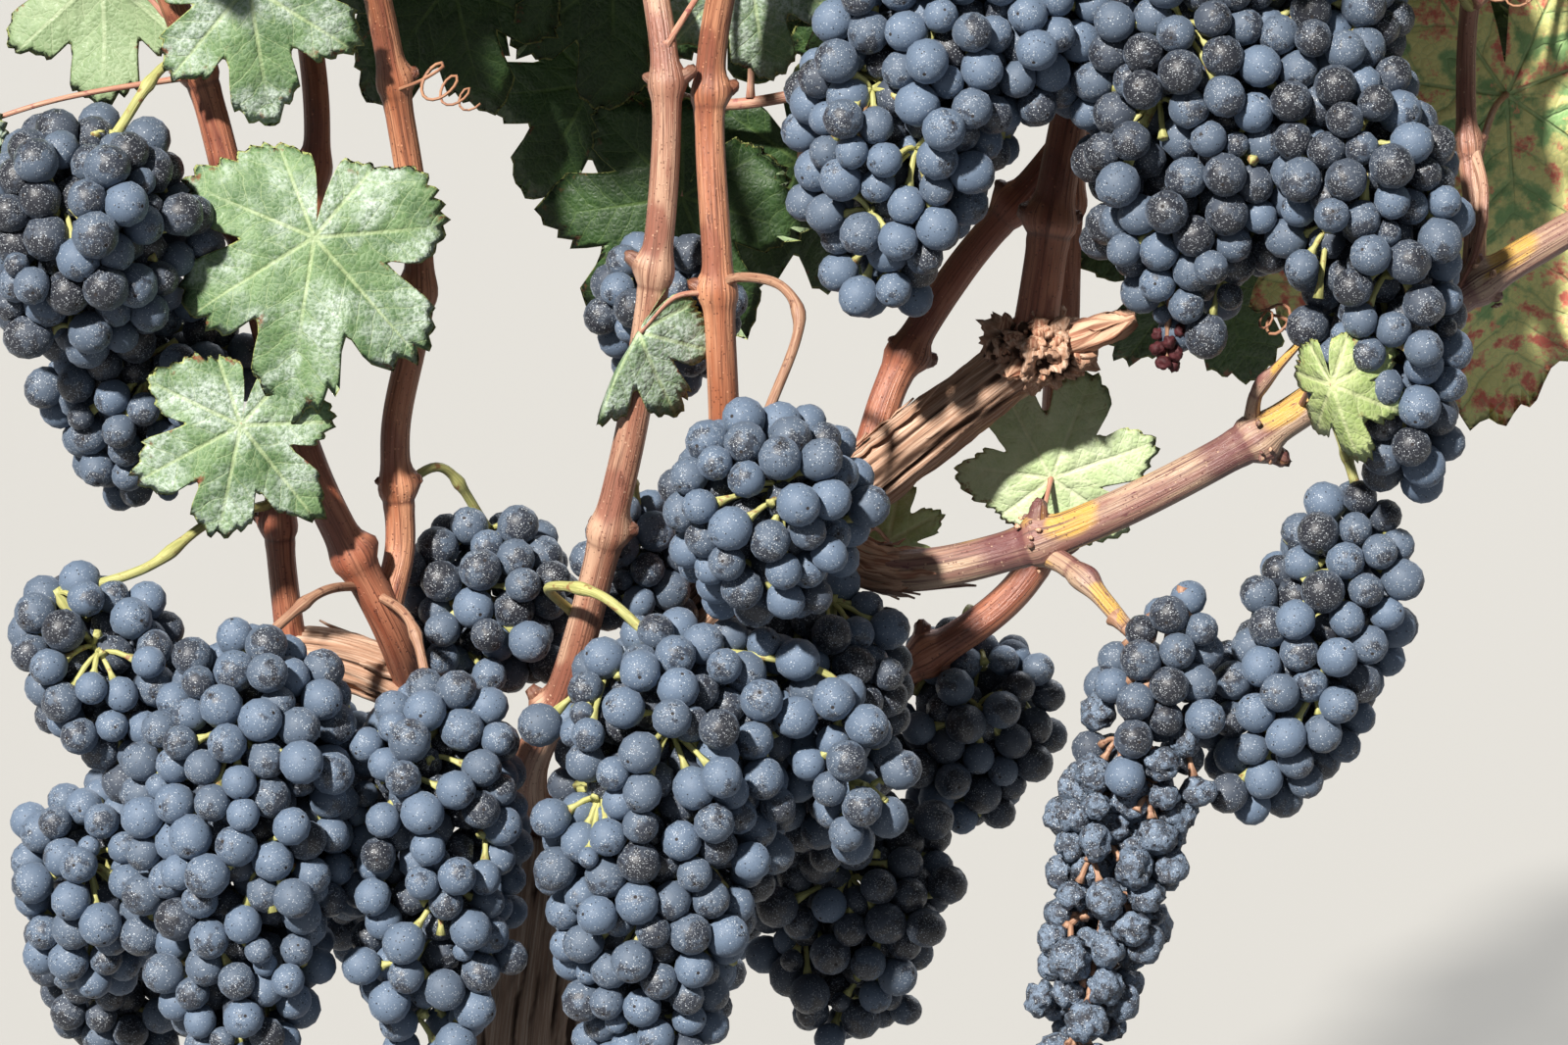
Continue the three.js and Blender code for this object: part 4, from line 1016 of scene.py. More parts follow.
def stem_finish(name, light, dark, rust):
    """Fresh bunch stem: yellow-green and grooved, with rusty patches at its joints."""
    made = new_finish(name, Specular_IOR_Level=.4)
    grooves = pattern(layer(made, "grain"), (1800, 1800, 120), 3)
    colour = coated(
        dark,
        (grooves.step(.35, .65), light),
        (pattern(place_in(made), 260, 4, .65).step(.56, .68), rust),
    )
    return wear(made, colour, grooves.step(0, 1, .45, .6), grooves, .0003)


def tube(line, girth, sides, step, paint=0, depth=0):
    """A round limb. girth takes the share of the way along it and gives the radius there."""
    return limb(line, lambda distance, turn, along: (girth(along), depth), sides, step, paint)


def stalk(points, radii, joint=.5, sides=8, paint=0, step=.0022):
    """A stalk that thickens at its foot and at its joint."""

    def girth(along):
        return taper(radii, along) * (1 + .45 * bump(along, joint, .05) + .4 * np.exp(-along / .06))

    return tube(smooth_line(points), girth, sides, step, paint, .5)


def short_stalk(start, end):
    """The stalk of one grape: thin, bent upwards, and flared where it holds the grape."""
    middle = (start + end) / 2 + (0, 0, .0012)
    line = evenly(np.array([start, (start + middle) / 2 + (0, 0, .0003), middle, end]), .0012)

    def girth(along):
        return .00085 + (.0011 * bump(along, .97, .16) + .0005 * bump(along, .4, .1))

    return tube(line, girth, 5, max(.002, np.linalg.norm(end - start) / 3))


blooms = [bloom_finish(name, *values) for name, values in BLOOM_COLOURS.items()]
scar_finish = plain_finish("grape_scar", SCAR_COLOUR, .7)
bunch_stem_finishes = [stem_finish(name, *colours) for name, colours in STEM_COLOURS.items()]
fine_grape, rough_grape = grape_shape(13, 8), grape_shape(8, 5)

wood_lines = [(line, CANES[name].radii) for name, line in cane_lines.items()]
wood_lines += [(line, ARMS[name]["radii"]) for name, line in arm_lines.items()]
wood_lines.append((trunk_line, TRUNK_RADII))
wood_places = np.concatenate([line[::5] for line, _ in wood_lines])
wood_radii = np.concatenate([np.linspace(*radii, len(line[::5])) for line, radii in wood_lines])
in_reach = wood_places[:, 2] < WOOD_TOP
wood = wood_places[in_reach], wood_radii[in_reach]

grapes = {"places": [], "layers": [], "bunch": [], "radii": [], "packing": []}
stem_lines, branches = {}, {}
for number, (name, bunch) in enumerate(BUNCHES.items()):
    rng = np.random.default_rng(100 + number)
    stem_lines[name] = [stem_line(top, tip, bunch.bow) for top, tip, _, _ in bunch.stems]
    branches[name] = []
    for line, (_, _, width, narrow), looseness in zip(stem_lines[name], bunch.stems, bunch.looseness):
        places, layers = grape_places(line, width, narrow, BERRY_GAP * looseness, rng)
        count = len(places)
        runts = np.where(rng.random(count) < RUNT_SHARE, RUNT_SIZE, 1)
        grapes["places"].append(places)
        grapes["layers"].append(layers)
        grapes["bunch"].append(np.full(count, number))
        grapes["radii"].append(BERRY_RADIUS * rng.uniform(*BERRY_SIZES, count) * runts * bunch.size)
        grapes["packing"].append(np.full(count, bunch.packing))
        branches[name] += side_branches(line, width, narrow, rng)
grapes = {key: np.concatenate(values) for key, values in grapes.items()}
middles = settle(grapes["places"], grapes["radii"], grapes["packing"], *wood)


def bunch_parts(number, name, rng):
    """The grapes of a bunch that hang on, each with its number, and the branched stem they hang from."""
    bunch, lines = BUNCHES[name], stem_lines[name]
    points = np.concatenate(branches[name])
    stems = [tube(line, lambda along: .0013 - .0004 * along + .0004 * bump(along, 1, .1), 6, .003)
             for line in branches[name]]
    hanging = []
    for index in np.nonzero(grapes["bunch"] == number)[0]:
        middle, radius = middles[index], grapes["radii"][index]
        anchor = points[np.linalg.norm(points - (middle + (0, 0, .006)), axis=1).argmin()]
        if grapes["layers"][index] == 0:
            stems.append(short_stalk(anchor, middle - unit(middle - anchor) * radius * .97))
            if rng.random() < bunch.lost:
                continue
        hanging.append((index, anchor))
    for line in lines:
        joined = [] if line is lines[0] else [lines[0][4]]
        path = [*joined, line[0], line[len(line) // 2], line[int(.85 * len(line))]]
        stems.append(stalk(path, STEM_RADII, .1, 8))
    end = lines[0][int(bunch.joins * len(lines[0]))]
    radii = bunch.stalk_radius, 1.1 * STEM_RADII[0]
    stems.append(stalk([*bunch.stalk, end], radii, .55, 10, int(bunch.brown)))
    return hanging, stems


def plump(index, anchor, paint, rng):
    """A sound grape: a ball drawn out a little along its stalk, and flat where it touches other grapes."""
    middle, radius = middles[index], grapes["radii"][index]
    shape, faces, is_scar = fine_grape if grapes["layers"][index] == 0 else rough_grape
    outward = unit(middle - anchor)
    turned = turned_to(outward, rng.uniform(0, 6.28))
    corners = shape * (1, 1, rng.uniform(1, 1.07))
    lumps = 1 + .02 * np.sin(corners @ rng.uniform(-2.5, 2.5, 3) + rng.uniform(0, 6))
    corners = (corners * lumps[:, None]) @ turned * radius
    directions = unit(corners)
    gaps = middles - middle
    far = np.linalg.norm(gaps, axis=1)
    for other in np.nonzero((far > 0) & (far < radius + grapes["radii"]))[0]:
        room = (far[other] ** 2 + radius**2 - grapes["radii"][other] ** 2) / (2 * far[other])
        towards = gaps[other] / far[other]
        corners = corners - np.clip(corners @ towards - room, 0, None)[:, None] * towards
    rubbed = np.clip(directions @ outward, 0, 1)
    grain = np.stack([rubbed, np.full(len(corners), rng.uniform()), directions[:, 2]], axis=1)
    return part(corners + middle, faces, grain, 0, np.where(is_scar, 3, paint))


for number, (name, bunch) in enumerate(BUNCHES.items()):
    if name == "shrivelled_bunch":
        continue
    rng = np.random.default_rng(200 + number)
    hanging, stems = bunch_parts(number, name, rng)
    berries = []
    for index, anchor in hanging:
        # Grapes inside a bunch mostly take the dark rubbed bloom: painted shade where little light reaches.
        inside = grapes["layers"][index] > 0 and rng.random() < INSIDE_SHADED
        berries.append(plump(index, anchor, 2 if inside else rng.choice(3, p=bunch.bloom), rng))
    piece(name + "_grapes", berries, [*blooms, scar_finish], "grapes", name)
    piece(name + "_stems", stems, bunch_stem_finishes, "grapes")

# The shrivelled bunch: its upper grapes are sound, and the others have dried to small wrinkled raisins with a
# dusty blue bloom, so that its brown stem shows between them.
RAISIN_SIZES = (1.08, 1.32)
RAISIN_WRINKLES = .24
RAISIN_DENTS = .62
PLUMP_ABOVE = .545  # its grapes above this height are sound
RAISIN_BLOOM = (.165, .215, .29)
RAISIN_SKIN_AND_SHADE = (.03, .03, .038)
RAISIN_SEED = 7  # noise_vector goes by the clock without one
raisin_ball, raisin_faces = ball_shape(3)
noise.seed_set(RAISIN_SEED)


def raisin(middle, radius, paint, rng):
    """A dried grape: a dented, flattened ball with rounded folds and narrow creases between them."""
    seed = Vector(rng.uniform(0, 90, 3))
    folds, sunk = [], []
    for corner in raisin_ball:
        place = Vector(corner)
        warped = place + .4 * noise.noise_vector(place * 1.1 + seed)
        fold = min(1, 4 * abs(noise.noise(warped * 1.7 + seed))) ** .6
        folds.append(fold)
        dent = max(0, noise.noise(place * 1.5 - seed))
        sunk.append(1 - RAISIN_WRINKLES * (1 - fold) - RAISIN_DENTS * dent)
    corners = raisin_ball * rng.uniform(.76, 1.08, 3) * np.array(sunk)[:, None] * radius
    grain = np.stack([folds, np.full(len(corners), rng.uniform()), np.zeros(len(corners))], axis=1)
    return part(corners + middle, [raisin_faces], grain, 0, paint)


def raisin_finish():
    """Wrinkled grape skin: blue bloom on folds, dark patches, painted shade in creases, fine wrinkles and
    dust.
    """
    made = new_finish("raisin", Specular_IOR_Level=.35)
    place, fold = place_in(made), split(layer(made, "grain"))[0]
    creases = abs(pattern(place, 420, 4, .65) - .5)
    clouds = pattern(place, 240, 4, .65)
    colour = coated(
        RAISIN_BLOOM,
        (clouds.step(.45, .6, 0, .8), RAISIN_SKIN_AND_SHADE),
        # painted shade: the creases and folded-in places take the dark skin colour
        (creases.step(.03, 0, 0, .8), RAISIN_SKIN_AND_SHADE),
        (fold.step(.6, .2), RAISIN_SKIN_AND_SHADE),
        (specks(place, 1500, clouds.step(.4, .65, .1, .7), .5), PIT_COLOUR),
        (specks(place, 1700, clouds.step(.35, .6, .1, .7), .45) * .7, DUST_COLOUR),
    )
    return wear(made, colour, creases.step(0, .2, .5, .7), creases, .0015)


rng = np.random.default_rng(77)
hanging, stems = bunch_parts(list(BUNCHES).index("shrivelled_bunch"), "shrivelled_bunch", rng)
raisins = []
for index, anchor in hanging:
    if middles[index][2] > PLUMP_ABOVE + rng.uniform(-.015, .015):
        raisins.append(plump(index, anchor, rng.choice(3, p=BUNCHES["shrivelled_bunch"].bloom), rng))
    else:
        raisins.append(raisin(middles[index], grapes["radii"][index] * rng.uniform(*RAISIN_SIZES), 4, rng))
for stem in stems:
    stem["paint"] = 1
raisin_finishes = [*blooms, scar_finish, raisin_finish()]
piece("shrivelled_bunch_raisins", raisins, raisin_finishes, "raisins", "shrivelled_bunch")
piece("shrivelled_bunch_stems", stems, bunch_stem_finishes, "raisins")

# The dried tip of the top right bunch: a few small, hard, dark red grapes that never filled, close together
# on the end of its stem.
DRIED_TIP = np.array((.216, -.046, .684))
DRIED_GRAPES = 9
DRIED_RADIUS = .0029
DRIED_LENGTH = .013
DRIED_COLOUR = (.07, .014, .017)
dried = []
for number in range(DRIED_GRAPES):
    turn, share = number * GOLDEN_ANGLE, number / DRIED_GRAPES
    away = np.array((math.cos(turn), math.sin(turn), 0)) * .0042 * (1 - .5 * share)
    dried.append(raisin(DRIED_TIP + away - (0, 0, DRIED_LENGTH * share), DRIED_RADIUS, 0, rng))
dried_stem = [DRIED_TIP + (.001, 0, .018), DRIED_TIP, DRIED_TIP - (0, 0, .012)]
dried.append(stalk(dried_stem, (.0011, .0006), .5, 6, 1))
dried_finish = plain_finish("dried_grape", DRIED_COLOUR, .6)
piece("top_right_bunch_dried_tip", dried, [dried_finish, bunch_stem_finishes[1]], "raisins")

# Single leaves among the fruit: five-lobed toothed blades on long stalks, grey-green and matte, with pale
# veins and a dried whitish spray on them. Each blade hangs from its stalk, tip down.


@dataclass
class Leaf:
    """A leaf on its stalk. Its upper side looks towards facing, as far as its tip lets it."""
    start: tuple  # of its stalk, on the wood
    base: tuple  # where its stalk joins the blade
    tipward: tuple
    length: float
    facing: tuple = (0, -1, .2)
    curl: float = 1
    fold: float = 0  # angle by which each half is turned down
    bend: tuple = (0, 0, .006)  # of its stalk
    finish: str = "sage"


LEAVES = {
    "left_large_leaf": Leaf((-.070, .019, .730), (-.065, -.032, .713), (-.15, -.25, -.95), .056),
    "left_small_leaf": Leaf((-.078, -.012, .660), (-.090, -.038, .651), (-.2, -.2, -.95), .041,
                            (.1, -1, .2)),
    "left_top_leaf": Leaf((-.107, -.002, .770), (-.138, .008, .796), (.05, -.05, -1), .043, (.2, 1, .1)),
    "left_upper_leaf": Leaf((-.104, 0, .765), (-.086, -.022, .795), (.15, -.15, -.98), .043),
    # This leaf stands partly in shade; its pale finish is lightened as painted light.
    "leaf_behind_right_cane": Leaf((.174, -.015, .606), (.182, .026, .620), (.35, -.05, .93), .040,
                                   (0, -1, .1), bend=(0, .004, -.004), finish="pale"),
    "centre_top_leaf": Leaf((.051, -.020, .775), (.078, .012, .800), (.15, 0, -.98), .040),
    "right_top_leaf": Leaf((.320, .008, .780), (.346, .104, .812), (.1, .1, -.98), .072, finish="shaded"),
    "rear_low_leaf": Leaf((.190, .086, .690), (.240, .104, .690), (.35, .1, -.93), .056, finish="shaded"),
}
SMALL_LEAVES = {  # wilted, young or hidden leaves, which the frame leaves out
    "centre_wilted_leaf": Leaf((.069, -.025, .693), (.042, -.036, .682), (-.5, -.1, -.85), .033,
                               (-.6, -1, .3), curl=1.6, fold=.95),
    "arm_young_leaf": Leaf((.114, .010, .598), (.126, .030, .597), (.2, 0, .98), .022,
                           (0, -1, .1), finish="wilted"),
    "left_edge_leaf": Leaf((-.103, 0, .763), (-.194, -.013, .742), (-.2, -.15, -.95), .036,
                           (-.2, -1, .3), bend=(0, -.004, .004)),
    "right_shaded_leaf": Leaf((.321, .004, .786), (.384, .100, .800), (.3, .05, -.95), .074,
                              finish="shaded"),
    "right_inner_leaf": Leaf((.321, .004, .788), (.306, .088, .806), (-.25, 0, -.97), .060,
                             finish="shaded"),
    "right_wilted_leaf": Leaf((.262, -.026, .655), (.266, -.088, .674), (.25, -.1, -.96), .028,
                              (-.5, -1, .2), curl=2, fold=.6, finish="wilted"),
}
LEAF_DETAIL, SMALL_LEAF_DETAIL = (170, 9), (170, 5)  # rays and rings of a blade
LEAF_OUTLINE = [  # degrees from the tip, and reach as a share of the length
    (0, 1), (15, .9), (26, .58), (37, .83), (52, .94), (67, .8), (79, .45), (89, .68), (104, .79),
    (128, .7), (150, .6), (168, .5), (180, .1),
]
LEAF_VARIETY = .13
TOOTH_ANGLE = 7.4
TOOTH_DEPTH = .08
MAIN_VEINS = np.radians((0, 50, 104, 150))
SIDE_VEIN_GAP = .0075
LEAF_DROOP = .16
LEAF_THICKNESS = .00035
LEAF_STALK_RADIUS = .0011
LEAF_COLOURS = {  # blade, its darker clouds, veins, dried spray and how much of it there is
    "sage": ((.125, .215, .08), (.06, .125, .04), (.42, .5, .26), (.66, .74, .68), .7),
    # the pale finish is a leaf's pale green, made lighter as painted light for a leaf in shade
    "pale": ((.52, .61, .35), (.4, .51, .25), (.66, .7, .46), (.68, .73, .58), .3),
    "wilted": ((.42, .5, .2), (.28, .37, .12), (.58, .6, .34), (.6, .62, .46), .35),
    "shaded": ((.028, .066, .016), (.016, .04, .011), (.12, .19, .055), (.06, .1, .05), .15),
    "fresh": ((.115, .2, .055), (.07, .14, .038), (.26, .35, .12), (.32, .4, .27), .25),
    "deep": ((.065, .135, .036), (.038, .09, .024), (.18, .27, .09), (.22, .3, .18), .2),
    "turning": ((.32, .33, .07), (.19, .23, .055), (.44, .44, .15), (.42, .44, .28), .2),
    "underside": ((.24, .32, .17), (.18, .26, .125), (.42, .48, .3), (.4, .45, .32), .15),
}
RIM_COLOUR = (.45, .48, .15)
BLEMISH_COLOUR = (.2, .07, .035)
LEAF_STALK_COLOURS = ((.5, .3, .2), (.4, .17, .12), (.3, .1, .09))


def leaf_reach(angle, seed):
    """How far a leaf's outline is from the joint of its stalk, as a share of its length."""
    degrees = np.degrees(np.abs(angle))
    knots = np.array(LEAF_OUTLINE)
    index = np.clip(np.searchsorted(knots[:, 0], degrees, side="right") - 1, 0, len(knots) - 2)
    start, end = knots[index], knots[index + 1]
    share = (degrees - start[:, 0]) / (end[:, 0] - start[:, 0])
    reach = start[:, 1] + (end[:, 1] - start[:, 1]) * (1 - np.cos(math.pi * share)) / 2
    uneven = np.array([noise.noise(Vector((seed, 2.4 * a, 0))) for a in angle])
    count = degrees / TOOTH_ANGLE + .35 * uneven
    step = count % 1
    tooth = np.where(step < .4, step / .4, (1 - step) / .6) ** .8 - .5
    spots = zip(np.floor(count), np.sign(angle))
    sizes = np.array([1 + 1.2 * noise.noise(Vector((seed, 7.7 * n, 3 * side))) for n, side in spots])
    teeth = TOOTH_DEPTH * tooth * sizes * np.clip((172 - degrees) / 25, 0, 1)
    return np.maximum(reach * (1 + LEAF_VARIETY * uneven + teeth), .05)


def leaf_axes(leaf):
    """The ways in which a blade's tip, its one half and its upper side point."""
    forward = unit(leaf.tipward)
    across = unit(np.cross(leaf.facing, forward))
    return forward, across, np.cross(forward, across)


def blade(leaf, detail, seed, paint=0, closed=True):
    """A leaf's blade, as rings round the joint of its stalk. A closed one has an underside, painted next."""
    rays, rings = detail
    base, length = np.array(leaf.base), leaf.length
    forward, across, up = leaf_axes(leaf)
    angle = (np.arange(rays) + .5) / rays * 2 * math.pi - math.pi
    outline = leaf_reach(angle, seed) * length
    radius = (((np.arange(rings) + 1) / rings) ** .8)[:, None] * outline
    turn = np.broadcast_to(angle, radius.shape)
    off_vein = np.abs(np.abs(turn)[..., None] - MAIN_VEINS).min(axis=-1)
    along_vein, beside_vein = radius * np.cos(off_vein), radius * np.sin(off_vein)
    lengthwise, sideways = np.cos(turn) * radius, np.sin(turn) * radius
    places = np.stack([lengthwise, sideways, np.full_like(radius, seed * .1)], axis=-1).reshape(-1, 3)
    waves = np.array([noise.noise(Vector(place) * 42) for place in places]).reshape(radius.shape)
    height = -LEAF_DROOP * leaf.curl * radius**2 / length - np.abs(sideways) * math.sin(leaf.fold)
    height += .11 * waves * radius - .0005 * bump(beside_vein, 0, .0012)
    height += .1 * beside_vein * np.sin(np.clip(beside_vein / (.16 * length), 0, math.pi))
    height += .04 * length * (radius / length) ** 2 * np.sin(3 * turn + seed)
    flat = base + lengthwise[..., None] * forward + (sideways * math.cos(leaf.fold))[..., None] * across
    edge = outline - radius
    upper = np.vstack([base, (flat + height[..., None] * up).reshape(-1, 3)])
    grain = np.stack([along_vein, beside_vein, edge], axis=-1).reshape(-1, 3)
    grain = np.vstack([(0, 0, length), grain])
    faces = [fan(0, 1, rays), bands(rings, rays, 1, True)]
    if not closed:
        return part(upper, faces, grain, seed % 1, paint)
    sunk = height - LEAF_THICKNESS * np.clip(edge / .002, 0, 1)
    lower = (flat + sunk[..., None] * up)[:-1].reshape(-1, 3)
    lower = np.vstack([base - LEAF_THICKNESS * up, lower])
    under = [np.where(block < len(lower), block + len(upper), block)[:, ::-1] for block in faces]
    paints = np.repeat((paint, paint + 1), len(faces[0]) + len(faces[1]))
    grain = np.vstack([grain, grain[: len(lower)]])
    return part(np.vstack([upper, lower]), faces + under, grain, seed % 1, paints)


def leaf_stalk(leaf, paint, sides=7, step=.0022):
    """The stalk of a leaf, from the wood to its joint with the blade."""
    start, base = np.array(leaf.start), np.array(leaf.base)
    middle = start + .55 * (base - start) + leaf.bend
    thin = LEAF_STALK_RADIUS * min(1.2, .5 + leaf.length / .09)
    end = base - leaf_axes(leaf)[2] * .9 * thin
    return stalk([start, middle, end], (thin * 1.15, thin * .8), 1, sides, paint, step)


def fine_net(place, per_metre):
    """The net of the finest veins: how far it is to the nearest one."""
    inputs = {"Vector": place, "Scale": per_metre}
    return Level(add(place.tree, "TexVoronoi", inputs, feature="DISTANCE_TO_EDGE")["Distance"])


def veins_of(rib, place, gap):
    """The veins of a blade: how far the nearest side vein is, and how much main or side vein there is."""
    along, beside, _ = rib
    row = along + beside * -.8 + pattern(place, 90, 2) * .006
    off_row = abs(row.math("DIVIDE", gap).math("FRACT") - .5)
    main_veins = (beside + along * .007).step(.0011, .0004)
    return off_row, off_row.step(.06, .015, 0, .5).math("MAXIMUM", main_veins)


def leaf_finish(name, blade_colour, clouds, vein, spray, amount):
    """A leaf's skin: matte, clouded, quilted between paler veins, with a thin light rim and a dried spray."""
    made = new_finish(name + "_leaf", Specular_IOR_Level=.35)
    place, rib = place_in(made), split(layer(made, "grain"))
    tone, marks = pattern(place, 75, 5, .6), pattern(place, 640, 5, .75)
    net = fine_net(place, 520)
    off_row, veins = veins_of(rib, place, SIDE_VEIN_GAP)
    colour = coated(
        blade_colour,
        (tone.step(.36, .62), clouds),
        (net.step(.06, 0, 0, .28), vein),
    )
    dried = pattern(place, 46, 4, .6).step(.41, .62, .08, 1) * marks.step(.36, .64, .15, 1)
    colour = coated(
        colour,
        (dried * amount, spray),
        (veins * .5, vein),
        (rib[2].step(.0011, .0003, 0, .75), RIM_COLOUR),
    )
    spots = pattern(place, 170, 4, .7).step(.58, .66) * rib[2].step(.006, .0005)
    colour = mixed(spots, colour, BLEMISH_COLOUR)
    height = off_row.step(0, .5) * .8 - veins * .5 + (net * 1.4 + tone * 3)
    return wear(made, colour, marks.step(.3, .7, .42, .7), height, .0003)


leaf_finishes = {name: leaf_finish(name, *colours) for name, colours in LEAF_COLOURS.items()}
leaf_stalk_finish = stem_finish("leaf_stalk", *LEAF_STALK_COLOURS)
for number, (name, leaf) in enumerate({**LEAVES, **SMALL_LEAVES}.items()):
    nodes, detail = ([name], LEAF_DETAIL) if name in LEAVES else ([], SMALL_LEAF_DETAIL)
    parts = [blade(leaf, detail, number + .37), leaf_stalk(leaf, 2)]
    finishes = [leaf_finishes[leaf.finish], leaf_finishes["underside"], leaf_stalk_finish]
    piece(name + "_blade", parts, finishes, "leaves", *nodes)

# The autumn leaf: a large old leaf behind the right cane that turns from its rim inwards, still green along
# its veins, then yellow, with orange and red patches between them.
AUTUMN_LEAF = Leaf((.321, -.002, .730), (.340, .062, .748), (.1, .05, -.99), .116, (.1, -1, .15))
AUTUMN_DETAIL = (220, 12)
AUTUMN_VEIN_GAP = .013
AUTUMN_GREEN = (.3, .5, .2)
AUTUMN_YELLOW = (.95, .9, .36)
AUTUMN_ORANGE = (1, .52, .28)
AUTUMN_RED = (.85, .22, .16)
AUTUMN_VEIN = (.42, .58, .26)


def autumn_finish():
    """Green along the veins, yellow between them, and rusty red where the blade is furthest from them."""
    made = new_finish("autumn_leaf", Specular_IOR_Level=.3)
    place, rib = place_in(made), split(layer(made, "grain"))
    spots, net = pattern(place, 150, 5, .65), fine_net(place, 330)
    off_row, veins = veins_of(rib, place, AUTUMN_VEIN_GAP)
    aged = pattern(place, 60, 5, .65) + rib[2].step(.06, 0, 0, .22) + off_row.step(.05, .45, 0, .1)
    hot = spots + aged.step(.5, .8, 0, .16)
    colour = coated(
        AUTUMN_GREEN,
        (aged.step(.46, .6), AUTUMN_YELLOW),
        (hot.step(.6, .67), AUTUMN_ORANGE),
        (hot.step(.67, .74), AUTUMN_RED),
        (veins * .8, AUTUMN_VEIN),
        (net.step(.06, 0, 0, .3), AUTUMN_VEIN),
    )
    height = net + off_row.step(0, .3) - veins
    return wear(made, colour, spots.step(.3, .7, .5, .75), height, .0005)


autumn = autumn_finish()
autumn_parts = [blade(AUTUMN_LEAF, AUTUMN_DETAIL, 9.4), leaf_stalk(AUTUMN_LEAF, 2)]
piece("autumn_leaf_blade", autumn_parts, [autumn, autumn, leaf_stalk_finish], "autumn_leaf", "autumn_leaf")

# The shaded shoot behind the fruit: a thin green shoot whose dark leaves close the view between the canes. It
# carries a leaf on a short stalk at each of its joints.
REAR_SHOOT_PATH = [(.188, .020, .752), (.160, .060, .748), (.110, .092, .746), (.060, .104, .740),
                   (.020, .108, .762), (-.010, .108, .800)]
REAR_FACING = (0, -1, .25)
REAR_LEAVES = [
    Leaf((-.008, .108, .797), (-.026, .096, .784), (-.6, 0, -.75), .052, REAR_FACING),
    Leaf((.024, .108, .760), (.022, .124, .744), (-.5, .1, -.86), .048, REAR_FACING),
    Leaf((.060, .104, .740), (.054, .092, .708), (-.5, 0, -.86), .056, REAR_FACING),
    Leaf((.096, .096, .745), (.096, .120, .716), (.4, .1, -.9), .058, REAR_FACING),
    Leaf((.130, .082, .747), (.120, .098, .790), (-.3, .1, -.94), .046, REAR_FACING),
    Leaf((-.004, .108, .788), (-.042, .116, .796), (-.25, 0, -.97), .054, REAR_FACING),
    Leaf((.040, .106, .749), (.030, .094, .788), (0, -.1, -1), .048, REAR_FACING),
    Leaf((.078, .100, .742), (.080, .116, .796), (.1, 0, -1), .052, REAR_FACING),
    Leaf((.116, .090, .746), (.128, .110, .764), (.35, 0, -.94), .046, REAR_FACING),
    Leaf((.150, .066, .748), (.160, .098, .800), (.2, 0, -.98), .054, REAR_FACING),
]
REAR_DETAIL = (110, 5)
rear_parts = [stalk(REAR_SHOOT_PATH, (.0026, .0017), .4, 9, 2)]
for number, leaf in enumerate(REAR_LEAVES):
    rear_parts += [blade(leaf, REAR_DETAIL, number + 20.2), leaf_stalk(leaf, 2, 5, .004)]
rear_finishes = [leaf_finishes["shaded"], leaf_finishes["underside"], leaf_stalk_finish]
piece("rear_shaded_shoot", rear_parts, rear_finishes, "leaves", "rear_shaded_leaves")

# The leafy top: each cane runs on into a green shoot with leaves at its joints, side twigs with smaller
# leaves, and tendrils. It keeps the joint leaves that the frame has, and other leaves with tips in the
# frame's box.
TOPS = {  # the cane that bears each shoot, and two points on its way up
    "left_outer_top": ("left_outer_cane", (-.200, -.044, 1.130), (-.214, -.044, 1.390)),
    "left_rear_top": ("left_rear_cane", (-.128, .125, 1.120), (-.136, .130, 1.370)),
    "left_inner_top": ("left_inner_cane", (-.078, -.062, 1.130), (-.084, -.066, 1.440)),
    "middle_left_top": ("middle_left_cane", (.010, .122, 1.120), (.008, .128, 1.420)),
    "middle_right_top": ("middle_right_cane", (.074, -.066, 1.130), (.072, -.066, 1.400)),
    "head_top": ("head_cane", (.212, -.068, 1.130), (.214, -.070, 1.430)),
    "crossing_top": ("crossing_cane", (.156, .128, 1.120), (.150, .130, 1.400)),
    "right_upright_top": ("right_upright_shoot", (.350, -.066, 1.110), (.354, -.066, 1.360)),
    "right_end_top": ("right_cane", (.462, -.006, 1.060), (.456, -.010, 1.340)),
    "low_rear_top": ("low_rear_cane", (.300, .126, 1.110), (.290, .130, 1.390)),
}
SHOOT_RADII = (.0032, .0014)  # at the foot and at the tip
SHOOT_GAP = .0003
SHOOT_STRAIGHT = .040
JOINT_SPACING = .078
JOINT_LEAVES = ((1, .024), (.8, .004), (.74, -.012))  # size and rise of the three leaves at a joint
TOP_DETAIL, TWIG_DETAIL, TIP_DETAIL = (72, 4), (50, 3), (44, 3)
TOP_LEAF_LENGTH = .092
TOP_LEAF_STALK = .046
BLADE_MIDDLE = (.22, .015)  # how far the middle of a blade is from its joint, and how high, for its length
TWIGS = 2  # side twigs at a joint
TWIG_LENGTHS = (.034, .066)
TWIG_RADII = (.0013, .0008)
TWIG_LEAN = 9  # per metre that the shoot is from the middle of the crown, front to back
CROWN_MIDDLE = .03
TWIG_LEAVES = 3
TWIG_LEAF_LENGTHS = (.030, .054)
TIP_LEAVES = 5
TIP_LEAF_LENGTH = .038
TIP_LEAF_STALK = .016
TIP_REACH = 14  # how far down the shoot the first of them grows, in mm
SPRAY_SHARE = .7  # of the leaves of a joint that take the spray's own colour
REACH_MARGIN = .004
TENDRIL_RADII = (.0007, .0004)
COIL_RADIUS = .0055
COIL_STEPS = 14  # in one turn
TOP_FINISHES = ("fresh", "deep", "sage", "turning")
TOP_SHARES = (.5, .38, .05, .07)
SHOOT_COLOURS = ((.34, .36, .1), (.26, .22, .08), (.3, .12, .06))


def source_numbers(seed):
    """The stream of numbers from 0 to 1 that the frame's leafy tops are grown with."""
    state = seed
    while True:
        state = (state * 1664525 + 1013904223) % 2**32
        yield state / 2**32


